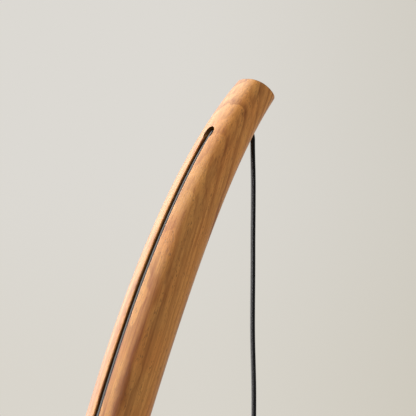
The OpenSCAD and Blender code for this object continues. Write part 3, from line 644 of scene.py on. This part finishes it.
JOINT_AT, JOINT_GAP = 0.82, 0.1 * MM
TIP_ROUND, TIP_STEPS = 0.8 * MM, 6
RUN_OUT = 3 * MM
# Slot 1 is painted shade on the groove walls; slot 2 darkens the tip's eased edge, as oiled end-grain and as
# painted shade.
GROOVE_SHADE, END_GRAIN_SHADE = 1, 2
full_groove = GROOVE_END - RUN_OUT
blind_end = full_groove - RUN_OUT
eased = arc((TIP_ROUND, TIP_ROUND), TIP_ROUND, 180, 270, TIP_STEPS)
upper_rings = [arm_ring(s, inset, False) for s, inset in eased]
upper_rings += [arm_ring(s, 0, False) for s in steps_between(TIP_ROUND, blind_end, 3 * MM)[1:]]
plain = len(upper_rings)
upper_rings += [arm_ring(s) for s in steps_between(full_groove, JOINT_AT - JOINT_GAP, 5 * MM)]
bm = bmesh.new()
rings = sweep(bm, upper_rings)
# The groove walls get darker wood: painted shade in the groove.
mark(bm, groove_walls(rings[plain:]), GROOVE_SHADE)
# The tip's eased edge is darker, as oiled end-grain is and as painted shade.
mark(bm, {v for ring in rings[:TIP_STEPS + 1] for v in ring}, END_GRAIN_SHADE)
arm_upper = finish_mesh(bm, "upper_section")
bm = bmesh.new()
rings = sweep(bm, [arm_ring(s) for s in steps_between(JOINT_AT + JOINT_GAP, ARM_LENGTH, 8 * MM)])
# Painted shade on the groove walls here too.
mark(bm, groove_walls(rings), GROOVE_SHADE)
arm_lower = finish_mesh(bm, "lower_section")
print("arm faces", len(arm_upper.data.polygons), len(arm_lower.data.polygons))

# %% [markdown]
# ## Oiled wood
# A board shows what the tree laid down: growth rings, cut at a slant wherever the arm curves away
# from the board, long fibres and short dark pores. So the pattern lives in the board's own space,
# with one axis along the grain, and not on the surface. The arm is sawn from straight boards, which
# is why the grain runs straight while the arm bends. A group holds the pattern, and each section
# turns it to its own board. A darker reddish streak down one side, stronger further down the board,
# is painted shade along the line where the lit face turns into the shaded side. The groove and the
# hole are darker as painted shade, and the tip's eased edge is darker as oiled end-grain is and as
# painted shade.

# %% The growth rings of a board
grain, grain_in, grain_out = new_group(
    "Board grain",
    [("Board", VEC, None), ("Ring Spacing", VAL, 0.0075), ("Shade Streak Side", VAL, 0.0),
     ("Pale", COL, (0.6, 0.3, 0.12, 1)), ("Dark", COL, (0.4, 0.17, 0.06, 1)),
     ("Pore", COL, (0.2, 0.08, 0.03, 1))],
    [("Color", COL), ("Height", VAL), ("Gloss", VAL)])
board = grain_in.outputs["Board"]
noise, step = partial(stretched_noise, grain, board), partial(remap, grain)
plus, minus, times = (partial(calc, grain, name) for name in ("ADD", "SUBTRACT", "MULTIPLY"))
x, y, z = add(grain, "ShaderNodeSeparateXYZ", {0: board}).outputs
from_pith = add(grain, "ShaderNodeCombineXYZ", {1: y, 2: z}).outputs[0]
radius = add(grain, "ShaderNodeVectorMath", {0: from_pith}, operation="LENGTH").outputs[1]
drift = step(noise((5, 26, 26), 2.0), 0.2, 0.8, -0.006, 0.006)
ripple = step(noise((38, 60, 60), 2.0), 0.2, 0.8, -0.0012, 0.0012)
rings_out = calc(grain, "DIVIDE", plus(plus(radius, drift), ripple), grain_in.outputs["Ring Spacing"])
phase = calc(grain, "FRACT", rings_out)
late = times(step(phase, 0.25, 0.9), step(phase, 1.0, 0.93))
year = add(grain, "ShaderNodeTexWhiteNoise", {"W": calc(grain, "FLOOR", rings_out)},
           noise_dimensions="1D").outputs[0]
ring = times(late, step(year, 0.0, 1.0, 0.35, 1.0))
print("ring nodes", len(grain.nodes))

# %% Fibres, pores and heartwood
fibre = step(noise((16, 620, 620), 3.0, 0.6), 0.34, 0.66)
streak = step(noise((3.5, 300, 300), 3.0, 0.55), 0.44, 0.68)
cloud = step(noise((18, 34, 34), 2.0), 0.4, 0.7)
dash = step(noise((220, 1100, 1100), 1.0), 0.56, 0.72)
pore = times(dash, step(phase, 0.7, 0.1, 0.25, 1.0))
tone = plus(times(ring, 0.55), plus(times(fibre, 0.22), times(streak, 0.38)), True)
body_colour = blend_colour(grain, tone, grain_in.outputs["Pale"], grain_in.outputs["Dark"])
ruddy = blend_colour(grain, times(cloud, 0.55), body_colour, (1.0, 0.8, 0.66, 1), "MULTIPLY")
# The darker reddish streak below is painted shade, laid along the line where the lit face turns into the shaded
# side; it grows stronger further down the board.
wobble = step(noise((16, 50, 50), 3.0), 0.25, 0.75, -0.0035, 0.0035)
aside = plus(minus(y, grain_in.outputs["Shade Streak Side"]), wobble)
painted_streak = times(step(calc(grain, "ABSOLUTE", aside), 0.006, 0.0), step(x, 0.17, -0.09, 0.05, 1.0))
shaded_grain = blend_colour(grain, painted_streak, ruddy, (0.56, 0.4, 0.27, 1), "MULTIPLY")
pored = blend_colour(grain, times(pore, 0.6), shaded_grain, grain_in.outputs["Pore"])
feed(grain, grain_out, {"Color": pored, "Height": minus(times(fibre, 0.35), pore),
                        "Gloss": plus(times(tone, 0.12), 0.34)})
print("grain nodes", len(grain.nodes))


# %% Wood for each section
# How much darker the groove and the hole are as painted shade, and the tip's eased edge as end-grain with painted
# shade.
GROOVE_SHADE_TONE, END_GRAIN_SHADE_TONE = 0.3, 0.6
GRAIN_BUMP, GRAIN_DEPTH = 0.25, 0.3 * MM
WOOD = {"Pale": (0.72, 0.335, 0.088), "Dark": (0.32, 0.103, 0.02), "Pore": (0.13, 0.045, 0.014)}


def oiled_wood(name, slope, through, pith, shade_streak_side, tone=1.0):
    """Wood whose board runs at that slope through a point, with its pith that far aside and below."""
    material, tree, shader = new_material(name, {"Coat Weight": 0.2, "Coat Roughness": 0.3})
    a = radians(slope)
    place = {"Vector": add(tree, "ShaderNodeTexCoord").outputs["Object"], "Rotation": (0, a, 0),
             "Location": Vector((0, *pith)) - Matrix.Rotation(a, 3, "Y") @ through}
    values = {label: (*(c * tone for c in colour), 1) for label, colour in WOOD.items()}
    values |= {"Board": add(tree, "ShaderNodeMapping", place).outputs[0], "Shade Streak Side": shade_streak_side + pith[0]}
    surface(tree, shader, add(tree, "ShaderNodeGroup", values, node_tree=grain), GRAIN_BUMP, GRAIN_DEPTH)
    return material


# Each board: its slope, a point it runs through, where its pith is, and how far aside its streak
# of painted shade lies
upper_board = (67, arm_point(0.3), (-0.03, 0.162), -0.0215)
lower_board = (82.6, arm_point(1.3), (0.025, 0.14), -0.023)
finishes["oak"] = oiled_wood("oiled wood upper", *upper_board)
upper_woods = (finishes["oak"], oiled_wood("groove painted shade upper", *upper_board, GROOVE_SHADE_TONE),
               oiled_wood("end-grain and painted shade", *upper_board, END_GRAIN_SHADE_TONE))
lower_woods = (oiled_wood("oiled wood lower", *lower_board),
               oiled_wood("groove painted shade lower", *lower_board, GROOVE_SHADE_TONE))
dress(arm_upper, *upper_woods)
dress(arm_lower, *lower_woods)
settle(arm_lower, "lamp", "oak", "arm_lower")
dowels = frame["nodes"]["arm_dowels"]
dowels.data.materials.clear()
dress(dowels, finishes["oak"])

# %% [markdown]
# ## The hole near the tip
# The flex goes through the arm in a round hole that is widened where it leaves the groove. Its rim
# is a slanted cut through a rounded back, which would be hard to plan in the rings of the sweep. A
# Boolean finds that line by itself, as a drill does. The drill brings the groove's darker wood
# along, painted shade for the wall of the hole.

# %% Drill the hole
def bore_out(piece, drill):
    """Cut the drill out of a piece with a Boolean, and throw the drill away."""
    cut = piece.modifiers.new("hole", "BOOLEAN")
    cut.object, cut.operation, cut.solver = drill, "DIFFERENCE", "EXACT"
    drilled = bpy.data.meshes.new_from_object(piece.evaluated_get(bpy.context.evaluated_depsgraph_get()))
    piece.modifiers.clear()
    piece.data = drilled
    drilled.shade_smooth()
    drilled.set_sharp_from_angle(angle=radians(SHARP))
    bpy.data.objects.remove(drill)


DRILL_RADIUS, DRILL_END = 4.75, 80
FLARE, FLARE_DEPTH, PAST = 1.3, 5, 12
mouth_at = (outer_face - hole).dot(hole_way) / MM
widest = DRILL_RADIUS + FLARE * (1 + PAST / FLARE_DEPTH)
along_hole = Matrix.Translation(hole) @ Matrix.Rotation(pi / 2 - HOLE_RISE, 4, "Y")
bit = [(0, mouth_at - PAST), (widest, mouth_at - PAST), (DRILL_RADIUS, mouth_at + FLARE_DEPTH),
       (DRILL_RADIUS, DRILL_END), (0, DRILL_END)]
drill = turned("drill", bit, along_hole, steps=64)
dress(drill, *upper_woods)
# The wall of the hole gets the groove's darker wood: painted shade.
for face in drill.data.polygons:
    face.material_index = GROOVE_SHADE
bore_out(arm_upper, drill)
settle(arm_upper, "lamp", "oak", "arm_upper")

# %% [markdown]
# ## The base
# A pressed steel cover, powder coated black, hides the iron that keeps the lamp upright. Its top
# edge is rounded and a fine line is rolled in above its lower edge. Turning the half section makes
# it in one go. The gland at the back is soft rubber, ribbed so that the lead can't be bent sharply
# where it leaves.

# %% Turn the cover
cover_low, cover_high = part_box("base_cover")
COVER_ROUND, COVER_WALL = 6, 2.5
outer, top, foot_edge = cover_high.x / MM, cover_high.z / MM, cover_low.z / MM
rolled_line = [(outer, foot_edge + 4.0), (outer - 0.7, foot_edge + 4.4), (outer - 0.7, foot_edge + 5.4),
               (outer, foot_edge + 5.8)]
profile = [(outer - COVER_WALL, top - COVER_WALL), (outer - COVER_WALL, foot_edge), (outer - 0.5, foot_edge),
           (outer, foot_edge + 0.5)] + rolled_line
profile += arc((outer - COVER_ROUND, top - COVER_ROUND), COVER_ROUND, 0, 90)
cover_disc = turned("cover_disc", [(0, top - COVER_WALL)] + profile + [(0, top)], steps=160)
settle(cover_disc, "lamp", "black_steel", "base_cover")


# %% Turn the gland
def ribbed(start, stop, root, end, ribs):
    """Profile of a tapered boot with grooves cut round it."""
    points = []
    for i in range(ribs):
        for share, dip in ((0, 0), (0.55, 0), (0.65, 0.8), (0.9, 0.8)):
            along = (i + share) / ribs
            points.append((root + (end - root) * along - dip, start + (stop - start) * along))
    return points + [(end, stop - 0.6), (end - 0.4, stop)]


BORE = CORD_RADIUS / MM + 0.1
behind = Matrix.Translation((-BASE_RADIUS, 0, GLAND_HEIGHT)) @ Matrix.Rotation(-pi / 2, 4, "Y")
collar = [(BORE, -9), (5.7, -9), (5.7, 0.3), (8.0, 0.3), (8.5, 0.8), (8.5, 3.5), (8.0, 4.0)]
gland_boot = turned("gland_boot", collar + ribbed(4.2, 36, 6.5, 4.0, 7) + [(BORE, 36)], behind, True, 48)
settle(gland_boot, "lamp", "rubber", "lead_gland")

# %% [markdown]
# ## The pendant
# A lampholder in a black shell carries the shade between its flange and a ring nut, and a small
# grip on top holds the flex with a grub screw. All are turned about the line of the hanging flex,
# so their profiles are lists of radius and height, in millimetres, that read like a workshop
# drawing. Heights are counted from the top of the holder's cap.

# %% Turn the lampholder
hang_axis = Matrix.Translation((plumb, 0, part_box("holder_cap")[1].z))
GRUB_AT, GRUB_STEPS = 5 * MM, 48
CAP_RADIUS, CAP_HEIGHT, CAP_ROUND, HOLDER_WALL = 21, 30, 8, 2.4
grip = [(BORE, 20), (3.9, 20), (4.5, 19.4), (7.0, 7.7), (7.2, 7.0), (7.2, 2.5), (6.8, 2.2), (6.8, 1.6),
        (7.2, 1.3), (7.2, 0.8), (6.7, 0.3), (5, 0.3), (5, -5.4), (BORE, -5.4)]
flex_grip = turned("flex_grip", grip, hang_axis, True, 48)
grub_way = hang_axis @ Matrix.Translation((0, 0, GRUB_AT)) @ Matrix.Rotation(pi / 2, 4, "Y")
bore_out(flex_grip, turned("grip_drill", [(0, 2), (1.7, 2), (1.7, 10), (0, 10)], grub_way, steps=32))
settle(flex_grip, "pendant", "black_plastic", "cord_grip")
grub = [(0, 3.2), (1.2, 3.2), (1.5, 3.6), (1.5, 6.6), (1.2, 6.9), (0.8, 6.9), (0.8, 5.6), (0, 5.2)]
settle(turned("grub_screw", grub, grub_way, steps=GRUB_STEPS), "pendant", "zinc_steel", "grip_screw")
shoulder = (CAP_RADIUS - CAP_ROUND, -CAP_ROUND)
shell = [(5.1, 0)] + arc(shoulder, CAP_ROUND, 90, 0) + [
    (CAP_RADIUS, -24), (CAP_RADIUS - 0.6, -24.4), (CAP_RADIUS - 0.6, -25.2), (CAP_RADIUS, -25.6),
    (CAP_RADIUS, -29.4), (CAP_RADIUS - 0.6, -CAP_HEIGHT), (CAP_RADIUS - HOLDER_WALL, -CAP_HEIGHT)]
shell += arc(shoulder, CAP_ROUND - HOLDER_WALL, 0, 90) + [(5.1, -HOLDER_WALL)]
settle(turned("cap_shell", shell, hang_axis, True), "pendant", "black_plastic", "holder_cap")

# %% Cut the thread of the skirt
FLANGE_RADIUS, SKIRT_RADIUS, SKIRT_IN, THREAD, THREADS = 25, 19, 16.6, 2.5, 14
seat = -CAP_HEIGHT - 3
skirt = [(SKIRT_IN, 8 - CAP_HEIGHT), (18.3, 8 - CAP_HEIGHT), (18.3, -CAP_HEIGHT),
         (FLANGE_RADIUS - 0.8, -CAP_HEIGHT), (FLANGE_RADIUS, -CAP_HEIGHT - 0.8), (FLANGE_RADIUS, seat + 0.8),
         (FLANGE_RADIUS - 0.8, seat), (SKIRT_RADIUS, seat)]
for k in range(THREADS):
    z = seat - 2 - k * THREAD
    skirt += [(SKIRT_RADIUS - cut, z - down) for cut, down in ((0, 0), (0.6, 0.7), (0.6, 1.1), (0, 1.8))]
skirt += [(SKIRT_RADIUS, seat - 39.5), (SKIRT_RADIUS - 0.5, seat - 40), (SKIRT_IN, seat - 40)]
settle(turned("holder_skirt", skirt, hang_axis, True), "pendant", "black_plastic", "holder_body")

# %% [markdown]
# ## The shade
# A dome of thin steel, black outside and white inside, with a rolled rim, held up by a ring nut.
# Half a sphere with a Solidify modifier would be quicker, but this dome has a flat seat on top and
# a rim that is thicker than its wall. So both faces and the rim are one closed profile, and the
# faces that look at the bulb are painted white. The knurl of the nut is a wave round its edge,
# pushed in after turning.

# %% Turn the shade
SHADE_RADIUS, SHADE_HEIGHT, SHADE_TOP, SHADE_WALL, RIM = 160, 165, 38, 1.5, 2
SHADE_HOLE, SHADE_STEPS = SKIRT_RADIUS + 0.3, 36
outside, inside = [], []
reach = SHADE_RADIUS - SHADE_TOP
for i in range(SHADE_STEPS):
    t = radians(90 * i / SHADE_STEPS)
    r, z = SHADE_TOP + reach * sin(t), seat - SHADE_HEIGHT * (1 - cos(t))
    normal = Vector((SHADE_HEIGHT * sin(t), reach * cos(t))).normalized()
    outside.append((r, z))
    inside.append((r - SHADE_WALL * normal.x, z - SHADE_WALL * normal.y))
roll = 360 - degrees(acos((RIM - SHADE_WALL) / RIM))
rim = arc((SHADE_RADIUS - RIM, seat - SHADE_HEIGHT), RIM, 0, -roll, 20)
dome = [(SHADE_HOLE, seat)] + outside + rim + inside[::-1] + [(SHADE_HOLE, seat - SHADE_WALL)]
shade_dome = turned("shade_dome", dome, hang_axis, True, 160)
dress(shade_dome, finishes["black_steel"], finishes["white_plastic"])
focus = hang_axis @ Vector((0, 0, (seat - SHADE_HEIGHT) * MM))
for face in shade_dome.data.polygons:
    inner = face.normal.dot(face.center - focus) < 0
    face.material_index = int(inner and face.center.z > focus.z + RIM * MM)
settle(shade_dome, "pendant", "black_steel", "shade")

# %% Knurl the ring nut
NUT_RADIUS, NUT_EASE, KNURLS, KNURL_DEPTH = 27, 0.8, 36, 0.018
nut_top, nut_bottom = seat - SHADE_WALL - 0.3, seat - SHADE_WALL - 7.3
nut = [(SHADE_HOLE, nut_top), (NUT_RADIUS - NUT_EASE, nut_top), (NUT_RADIUS, nut_top - NUT_EASE),
       (NUT_RADIUS, nut_bottom + NUT_EASE), (NUT_RADIUS - NUT_EASE, nut_bottom), (SHADE_HOLE, nut_bottom)]
bm = bmesh.new()
turn(bm, nut, closed=True, steps=4 * KNURLS)
for v in bm.verts:
    if hypot(v.co.x, v.co.y) > FLANGE_RADIUS * MM:
        v.co.xy *= 1 - KNURL_DEPTH * (1 + cos(KNURLS * atan2(v.co.y, v.co.x)))
bmesh.ops.transform(bm, matrix=hang_axis, verts=bm.verts)
settle(finish_mesh(bm, "ring_nut", ROUNDED), "pendant", "black_plastic", "shade_ring")

# %% [markdown]
# ## The bulb
# A globe of opal glass on a zinc-plated screw cap. The globe is a turned shell. The cap's thread is
# one wave of the profile, spun for several turns while it climbs a pitch in each, and then cut off
# square.

# %% Blow the globe
glass_low, glass_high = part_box("bulb_glass")
GLOBE, GLASS, NECK, SHOULDER = 47.5, 1.2, 14.2, 65
bulb_axis = Matrix.Translation((plumb, 0, glass_low.z + GLOBE * MM))
neck_top = (glass_high.z - glass_low.z) / MM - GLOBE
globe = arc((0, 0), GLOBE, -90, SHOULDER, 32)
globe += [(NECK + 0.8, neck_top - 5.5), (NECK, neck_top - 3.5), (NECK, neck_top)]
globe += [(NECK - GLASS, neck_top), (NECK - GLASS, neck_top - 3.5)]
globe += arc((0, 0), GLOBE - GLASS, SHOULDER, -90, 32)
settle(turned("globe", globe, bulb_axis), "bulb", "opal", "bulb_glass")

# %% Roll the thread of the screw cap
screw_low, screw_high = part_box("bulb_cap")
SCREW, PITCH, DIP = 13.2 * MM, 3.63 * MM, 0.45 * MM
TURN_STEPS, WAVE_STEPS = 48, 8
screw_turns = ceil((screw_high.z - screw_low.z) / PITCH) + 2
bm = bmesh.new()
wave = []
for i in range(WAVE_STEPS + 1):
    dip = DIP * (1 - cos(tau * i / WAVE_STEPS))
    wave.append(bm.verts.new((SCREW - dip, 0, screw_low.z - PITCH + PITCH * i / WAVE_STEPS)))
edges = [bm.edges.new(pair) for pair in zip(wave, wave[1:])]
bmesh.ops.spin(bm, geom=wave + edges, axis=(0, 0, 1), cent=(0, 0, 0), dvec=(0, 0, PITCH / TURN_STEPS),
               angle=tau * screw_turns, steps=TURN_STEPS * screw_turns, use_merge=False)
bmesh.ops.remove_doubles(bm, verts=bm.verts, dist=MERGE_WITHIN)
for level, away in ((screw_low.z, -1), (screw_high.z, 1)):
    whole = bm.verts[:] + bm.edges[:] + bm.faces[:]
    bmesh.ops.bisect_plane(bm, geom=whole, dist=MERGE_WITHIN / 10, plane_co=(0, 0, level),
                           plane_no=(0, 0, away), clear_outer=True)
bmesh.ops.holes_fill(bm, edges=[e for e in bm.edges if e.is_boundary], sides=0)
bmesh.ops.translate(bm, vec=(plumb, 0, 0), verts=bm.verts)
settle(finish_mesh(bm, "screw_cap", ROUNDED), "bulb", "zinc_steel", "bulb_cap")

# %% [markdown]
# ## The foot switch
# Two moulded shells, a tray and a lid, screwed together from below, with a round button that is
# pressed with the foot. Its rings give the sole some grip, and soft boots guard the lead on both
# sides. All of these are round, so they are turned. The spring under the button is a wire swept
# along a helix.

# %% Turn the housing
tray_low, tray_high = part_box("switch_base")
switch_axis = Matrix.Translation(((tray_low.x + tray_high.x) / 2, (tray_low.y + tray_high.y) / 2, 0))
tray = [(0, 1.5)] + arc((29.5, 3.0), 1.5, -90, 0, 5)
tray += [(31, 13.4), (30.4, 14), (28.8, 14), (28.8, 3.5), (0, 3.5)]
settle(turned("switch_tray", tray, switch_axis), "lamp", "black_plastic", "switch_base")
lid = [(28.8, 14.3), (30.4, 14.3), (31, 14.9)] + arc((29.2, 19.2), 1.8, 0, 61, 5)
lid += arc((21.6, 23.0), 2.0, 61, 90, 4) + [(16.7, 25), (16.3, 24.6), (16.3, 22.8), (21, 22.8), (28.8, 19)]
settle(turned("switch_lid", lid, switch_axis, True), "lamp", "black_plastic", "switch_cover")
TREAD = 30.5
button = [(0, 15.2), (4, 15.2), (4, 20.3), (18, 20.3), (18, 22.5), (16, 22.5)]
button += arc((13.5, TREAD - 2.5), 2.5, 0, 90, 6)
for r in (11.5, 8.5, 5.5):
    button += [(r + 0.7, TREAD), (r + 0.4, TREAD - 0.6), (r - 0.4, TREAD - 0.6), (r - 0.7, TREAD)]
tread_button = turned("tread_button", button + [(0, TREAD)], switch_axis)
settle(tread_button, "foot_button", "black_plastic", "foot_button")

# %% Boots of the switch
SWITCH_CORD, BOOT_STEPS = 7.8 * MM, 40
bm = bmesh.new()
boot = [(BORE, 27), (3.9, 27), (3.9, 31.3)] + ribbed(31.3, 51, 5.3, 3.7, 5) + [(BORE, 51)]
for side in (1, -1):
    way = Matrix.Translation((0, 0, SWITCH_CORD)) @ Matrix.Rotation(-side * pi / 2, 4, "X")
    turn(bm, boot, switch_axis @ way, True, BOOT_STEPS)
settle(finish_mesh(bm, "switch_boot_pair"), "lamp", "rubber", "switch_boots")

# %% Wind the spring
spring_low, spring_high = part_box("button_spring")
SPRING_RADIUS, SPRING_WIRE, SPRING_TURNS = 6.5 * MM, 0.5 * MM, 4
HELIX_STEPS, WIRE_SIDES = 24, 10
rise = spring_high.z - spring_low.z - 2 * SPRING_WIRE
centre = switch_axis @ Vector((0, 0, spring_low.z + SPRING_WIRE))
helix, wire_steps = [], SPRING_TURNS * HELIX_STEPS
for i in range(wire_steps + 1):
    a = tau * i / HELIX_STEPS
    x, y = SPRING_RADIUS * cos(a), SPRING_RADIUS * sin(a)
    helix.append(centre + Vector((x, y, rise * i / wire_steps)))
spring = swept("return_spring", tube_rings(helix, SPRING_WIRE, WIRE_SIDES, UP))
settle(spring, "lamp", "zinc_steel", "button_spring")
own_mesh(spring)

# %% [markdown]
# ## The plug and the tie
# A flat two-pin plug: one outline, extruded to its thickness and bevelled all round, with grip
# ridges on its upper face and a ribbed boot. A soft strap holds the coil: an outline, its middle
# cut out, then extruded.

# %% Thicken and round a shape
def thicken(bm, faces, way):
    """Extrude flat faces that way into a body."""
    grown = bmesh.ops.extrude_face_region(bm, geom=faces)["geom"]
    bmesh.ops.translate(bm, vec=way, verts=[v for v in grown if isinstance(v, bmesh.types.BMVert)])


def round_off(bm, geom, offset, segments, affect="EDGES"):
    bmesh.ops.bevel(bm, geom=list(geom), offset=offset, segments=segments, profile=0.5, affect=affect,
                    material=-1)


# %% Shape the plug
body_low, body_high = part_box("plug_body")
PLUG_WIDTH, PLUG_LENGTH, PLUG_THICKNESS, PLUG_BOOT = 35, 36, 14, 20
PLUG_ROUND, RIDGES, RIDGE_ROUND = 1.6 * MM, 5, 0.3 * MM
plug_rear = body_low.y + PLUG_BOOT * MM
plug_at = Matrix.Translation(((body_low.x + body_high.x) / 2, plug_rear, 0))
half, rear = PLUG_WIDTH / 2, PLUG_WIDTH / 4
outline = [(-rear, 0), (rear, 0), (rear, 4), (half, PLUG_LENGTH * 0.6), (half, PLUG_LENGTH),
           (-half, PLUG_LENGTH), (-half, PLUG_LENGTH * 0.6), (-rear, 4)]
bm = bmesh.new()
base = bm.faces.new([bm.verts.new((x * MM, y * MM, 0)) for x, y in outline])
thicken(bm, [base], (0, 0, PLUG_THICKNESS * MM))
round_off(bm, bm.edges, PLUG_ROUND, 4)
for k in range(RIDGES):
    before = set(bm.verts)
    size = Matrix.Diagonal((0.016 + 0.002 * k, 0.0014, 0.0009, 1))
    on_top = Matrix.Translation((0, (9 + 3.2 * k) * MM, PLUG_THICKNESS * MM))
    bmesh.ops.create_cube(bm, size=1, matrix=on_top @ size)
    round_off(bm, {e for v in set(bm.verts) - before for e in v.link_edges}, RIDGE_ROUND, 2)
backwards = Matrix.Translation((0, 0, PLUG_THICKNESS / 2 * MM)) @ Matrix.Rotation(pi / 2, 4, "X")
boot = [(BORE, -4), (5.3, -4)] + ribbed(0, PLUG_BOOT, 5.3, 3.7, 5) + [(BORE, PLUG_BOOT)]
turn(bm, boot, backwards, True, BOOT_STEPS)
bmesh.ops.transform(bm, matrix=plug_at, verts=bm.verts)
plug = finish_mesh(bm, "plug")
settle(plug, "lamp", "black_plastic", "plug_body")

# %% Turn the pins
PIN, PIN_PITCH, PIN_LENGTH, PIN_ROUND, SLEEVE = 2, 19, 19, 1.2, 9.5
bm = bmesh.new()
pin = [(0, -12), (PIN - 0.1, -12), (PIN - 0.1, SLEEVE - 0.1), (PIN, SLEEVE), (PIN, PIN_LENGTH - PIN_ROUND)]
pin += arc((PIN - PIN_ROUND, PIN_LENGTH - PIN_ROUND), PIN_ROUND, 0, 90, 5) + [(0, PIN_LENGTH)]
forwards = Matrix.Rotation(-pi / 2, 4, "X")
for side in (-1, 1):
    front = Vector((side * PIN_PITCH / 2, PLUG_LENGTH, PLUG_THICKNESS / 2)) * MM
    turn(bm, pin, plug_at @ Matrix.Translation(front) @ forwards, steps=32)
pins = finish_mesh(bm, "pins")
dress(pins, finishes["brass"], finishes["black_plastic"])
for face in pins.data.polygons:
    face.material_index = int(face.center.y < plug_rear + (PLUG_LENGTH + SLEEVE) * MM)
settle(pins, "lamp", "brass", "plug_pins")

# %% Fold the tie
tie_low, tie_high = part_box("coil_tie")
TIE_WALL, TIE_ROUND = 0.8 * MM, 2.2 * MM
bm = bmesh.new()
left, bottom, far, over = tie_low.y, tie_low.z, tie_high.y, tie_high.z
corners = [(left, bottom), (far, bottom), (far, over), (left, over)]
strap = bm.faces.new([bm.verts.new((tie_low.x, y, z)) for y, z in corners])
round_off(bm, strap.verts, TIE_ROUND, 5, "VERTICES")
bmesh.ops.inset_region(bm, faces=bm.faces[:], thickness=TIE_WALL, use_even_offset=True, use_boundary=True)
middle = max(bm.faces, key=lambda f: f.calc_area())
bmesh.ops.delete(bm, geom=[middle], context="FACES_ONLY")
thicken(bm, bm.faces[:], (tie_high.x - tie_low.x, 0, 0))
tie = finish_mesh(bm, "tie")
settle(tie, "lamp", "rubber", "coil_tie")

# %% [markdown]
# ## The two soft stretches of the flex
# The flex in the arm can't move, but the hanging flex and the mains lead are soft. The pieces that
# the lead carries are gathered in a list.

# %% Gather the pieces carried on the lead
on_lead = [bpy.data.objects[name] for name in ("gland_boot", "switch_tray", "switch_lid", "switch_boot_pair",
                                               "tread_button", "return_spring", "tie", "plug", "pins")]
on_lead += [frame["nodes"][name] for name in ("switch_pad", "switch_block", "switch_screws")]

# %% [markdown]
# ## Floor, backdrop colour and light
# The lamp stands in a plain pale studio. A large soft light on the left, a little behind the arm,
# models it. A weak warm one on the right fills the shaded side, and between them the middle of the
# arm stays darkest. The sheen on the outer face is the reflection of a window on the left, which
# only mirrored rays see. A third light from the front left is linked to the hanging flex alone, and
# draws a grey line down its left side. What the camera sees behind the lamp is only a colour and
# adds no light.

# %% Floor
FLOOR_RADIUS = 6
bm = bmesh.new()
bmesh.ops.create_circle(bm, cap_ends=True, segments=96, radius=FLOOR_RADIUS)
floor = finish_mesh(bm, "floor")
paint, tree, shader = new_material("pale floor", {"Roughness": 0.9})
where = add(tree, "ShaderNodeTexCoord").outputs["Object"]
floor_tone = add(tree, "ShaderNodeTexNoise", {"Vector": where, "Scale": 0.6}).outputs[0]
floor_colour = blend_colour(tree, floor_tone, (0.66, 0.63, 0.58, 1), (0.68, 0.65, 0.60, 1))
feed(tree, shader, {"Base Color": floor_colour})
dress(floor, paint)
print("floor radius", FLOOR_RADIUS)

# %% Backdrop
world = bpy.data.worlds.new("studio")
scene.world = world
world.use_nodes = True
tree = world.node_tree
tree.nodes.clear()
ray = add(tree, "ShaderNodeTexCoord").outputs["Generated"]


def along(way):
    """How far the ray points that way, from -1 to 1."""
    return add(tree, "ShaderNodeVectorMath", {0: ray, 1: way}, operation="DOT_PRODUCT").outputs[1]


lit_side, dim_side, dim_below = (0.716, 0.694, 0.651, 1), (0.619, 0.591, 0.525, 1), (0.969, 0.958, 0.928, 1)
wall = blend_colour(tree, remap(tree, along(right), -0.02, 0.12), lit_side, dim_side)
wall = blend_colour(tree, remap(tree, along(UP), 0.02, -0.073), wall, dim_below, "MULTIPLY")
backdrop = add(tree, "ShaderNodeBackground", {"Strength": 1.0, "Color": wall})
window = remap(tree, along(UP * 0.35 - right * 0.8 + look * 0.1), 0.32, 0.76, 0.03, 4.2)
far_wall = remap(tree, along(look), 0.2, 0.9, 0.0, 0.4)
room = add(tree, "ShaderNodeBackground",
           {"Strength": calc(tree, "ADD", window, far_wall), "Color": (1.0, 0.98, 0.95, 1)})
ambient = add(tree, "ShaderNodeBackground", {"Color": (1.0, 0.96, 0.9, 1), "Strength": 0.4})
path = add(tree, "ShaderNodeLightPath")
mirrored = add(tree, "ShaderNodeMixShader", {0: path.outputs["Is Glossy Ray"], 1: ambient.outputs[0],
                                             2: room.outputs[0]})
seen = calc(tree, "MAXIMUM", path.outputs["Is Camera Ray"], path.outputs["Is Transmission Ray"])
mix = add(tree, "ShaderNodeMixShader", {0: seen, 1: mirrored.outputs[0], 2: backdrop.outputs[0]})
add(tree, "ShaderNodeOutputWorld", {0: mix.outputs[0]})
print("world nodes", len(tree.nodes))


# %% Lights
def soft_light(name, place, target, size, power, colour):
    data = bpy.data.lights.new(name, "AREA")
    data.shape, data.size, data.size_y = "RECTANGLE", *size
    data.energy, data.color = power, colour
    made = put_in_scene(name, data)
    made.location = place
    made.rotation_euler = (target - place).to_track_quat("-Z", "Y").to_euler()
    return made


upper_arm = Vector((0.15, 0, 1.5))
key_at = upper_arm - right * 2.05 + UP * 2.8 + look * 0.58
fill_at = upper_arm + right * 1.8 + look * 0.15 + UP * 0.15
key = soft_light("key", key_at, upper_arm, (1.4, 2.0), 129, (1.0, 1.0, 0.97))
fill = soft_light("fill", fill_at, upper_arm, (1.4, 1.6), 7.8, (1.0, 0.9, 0.78))
key.visible_glossy = fill.visible_glossy = False
beside_flex = hang_top + UP * 0.45
sheen_at = beside_flex - right * 1.4 - look * 1.95
sheen = soft_light("sheen", sheen_at, beside_flex, (2.0, 1.2), 92, (0.97, 0.98, 1.0))
sheen.visible_camera = False
takes_sheen = bpy.data.collections.new("takes the sheen")
takes_sheen.objects.link(hanging_cord)
sheen.light_linking.receiver_collection = takes_sheen
print("lights set")
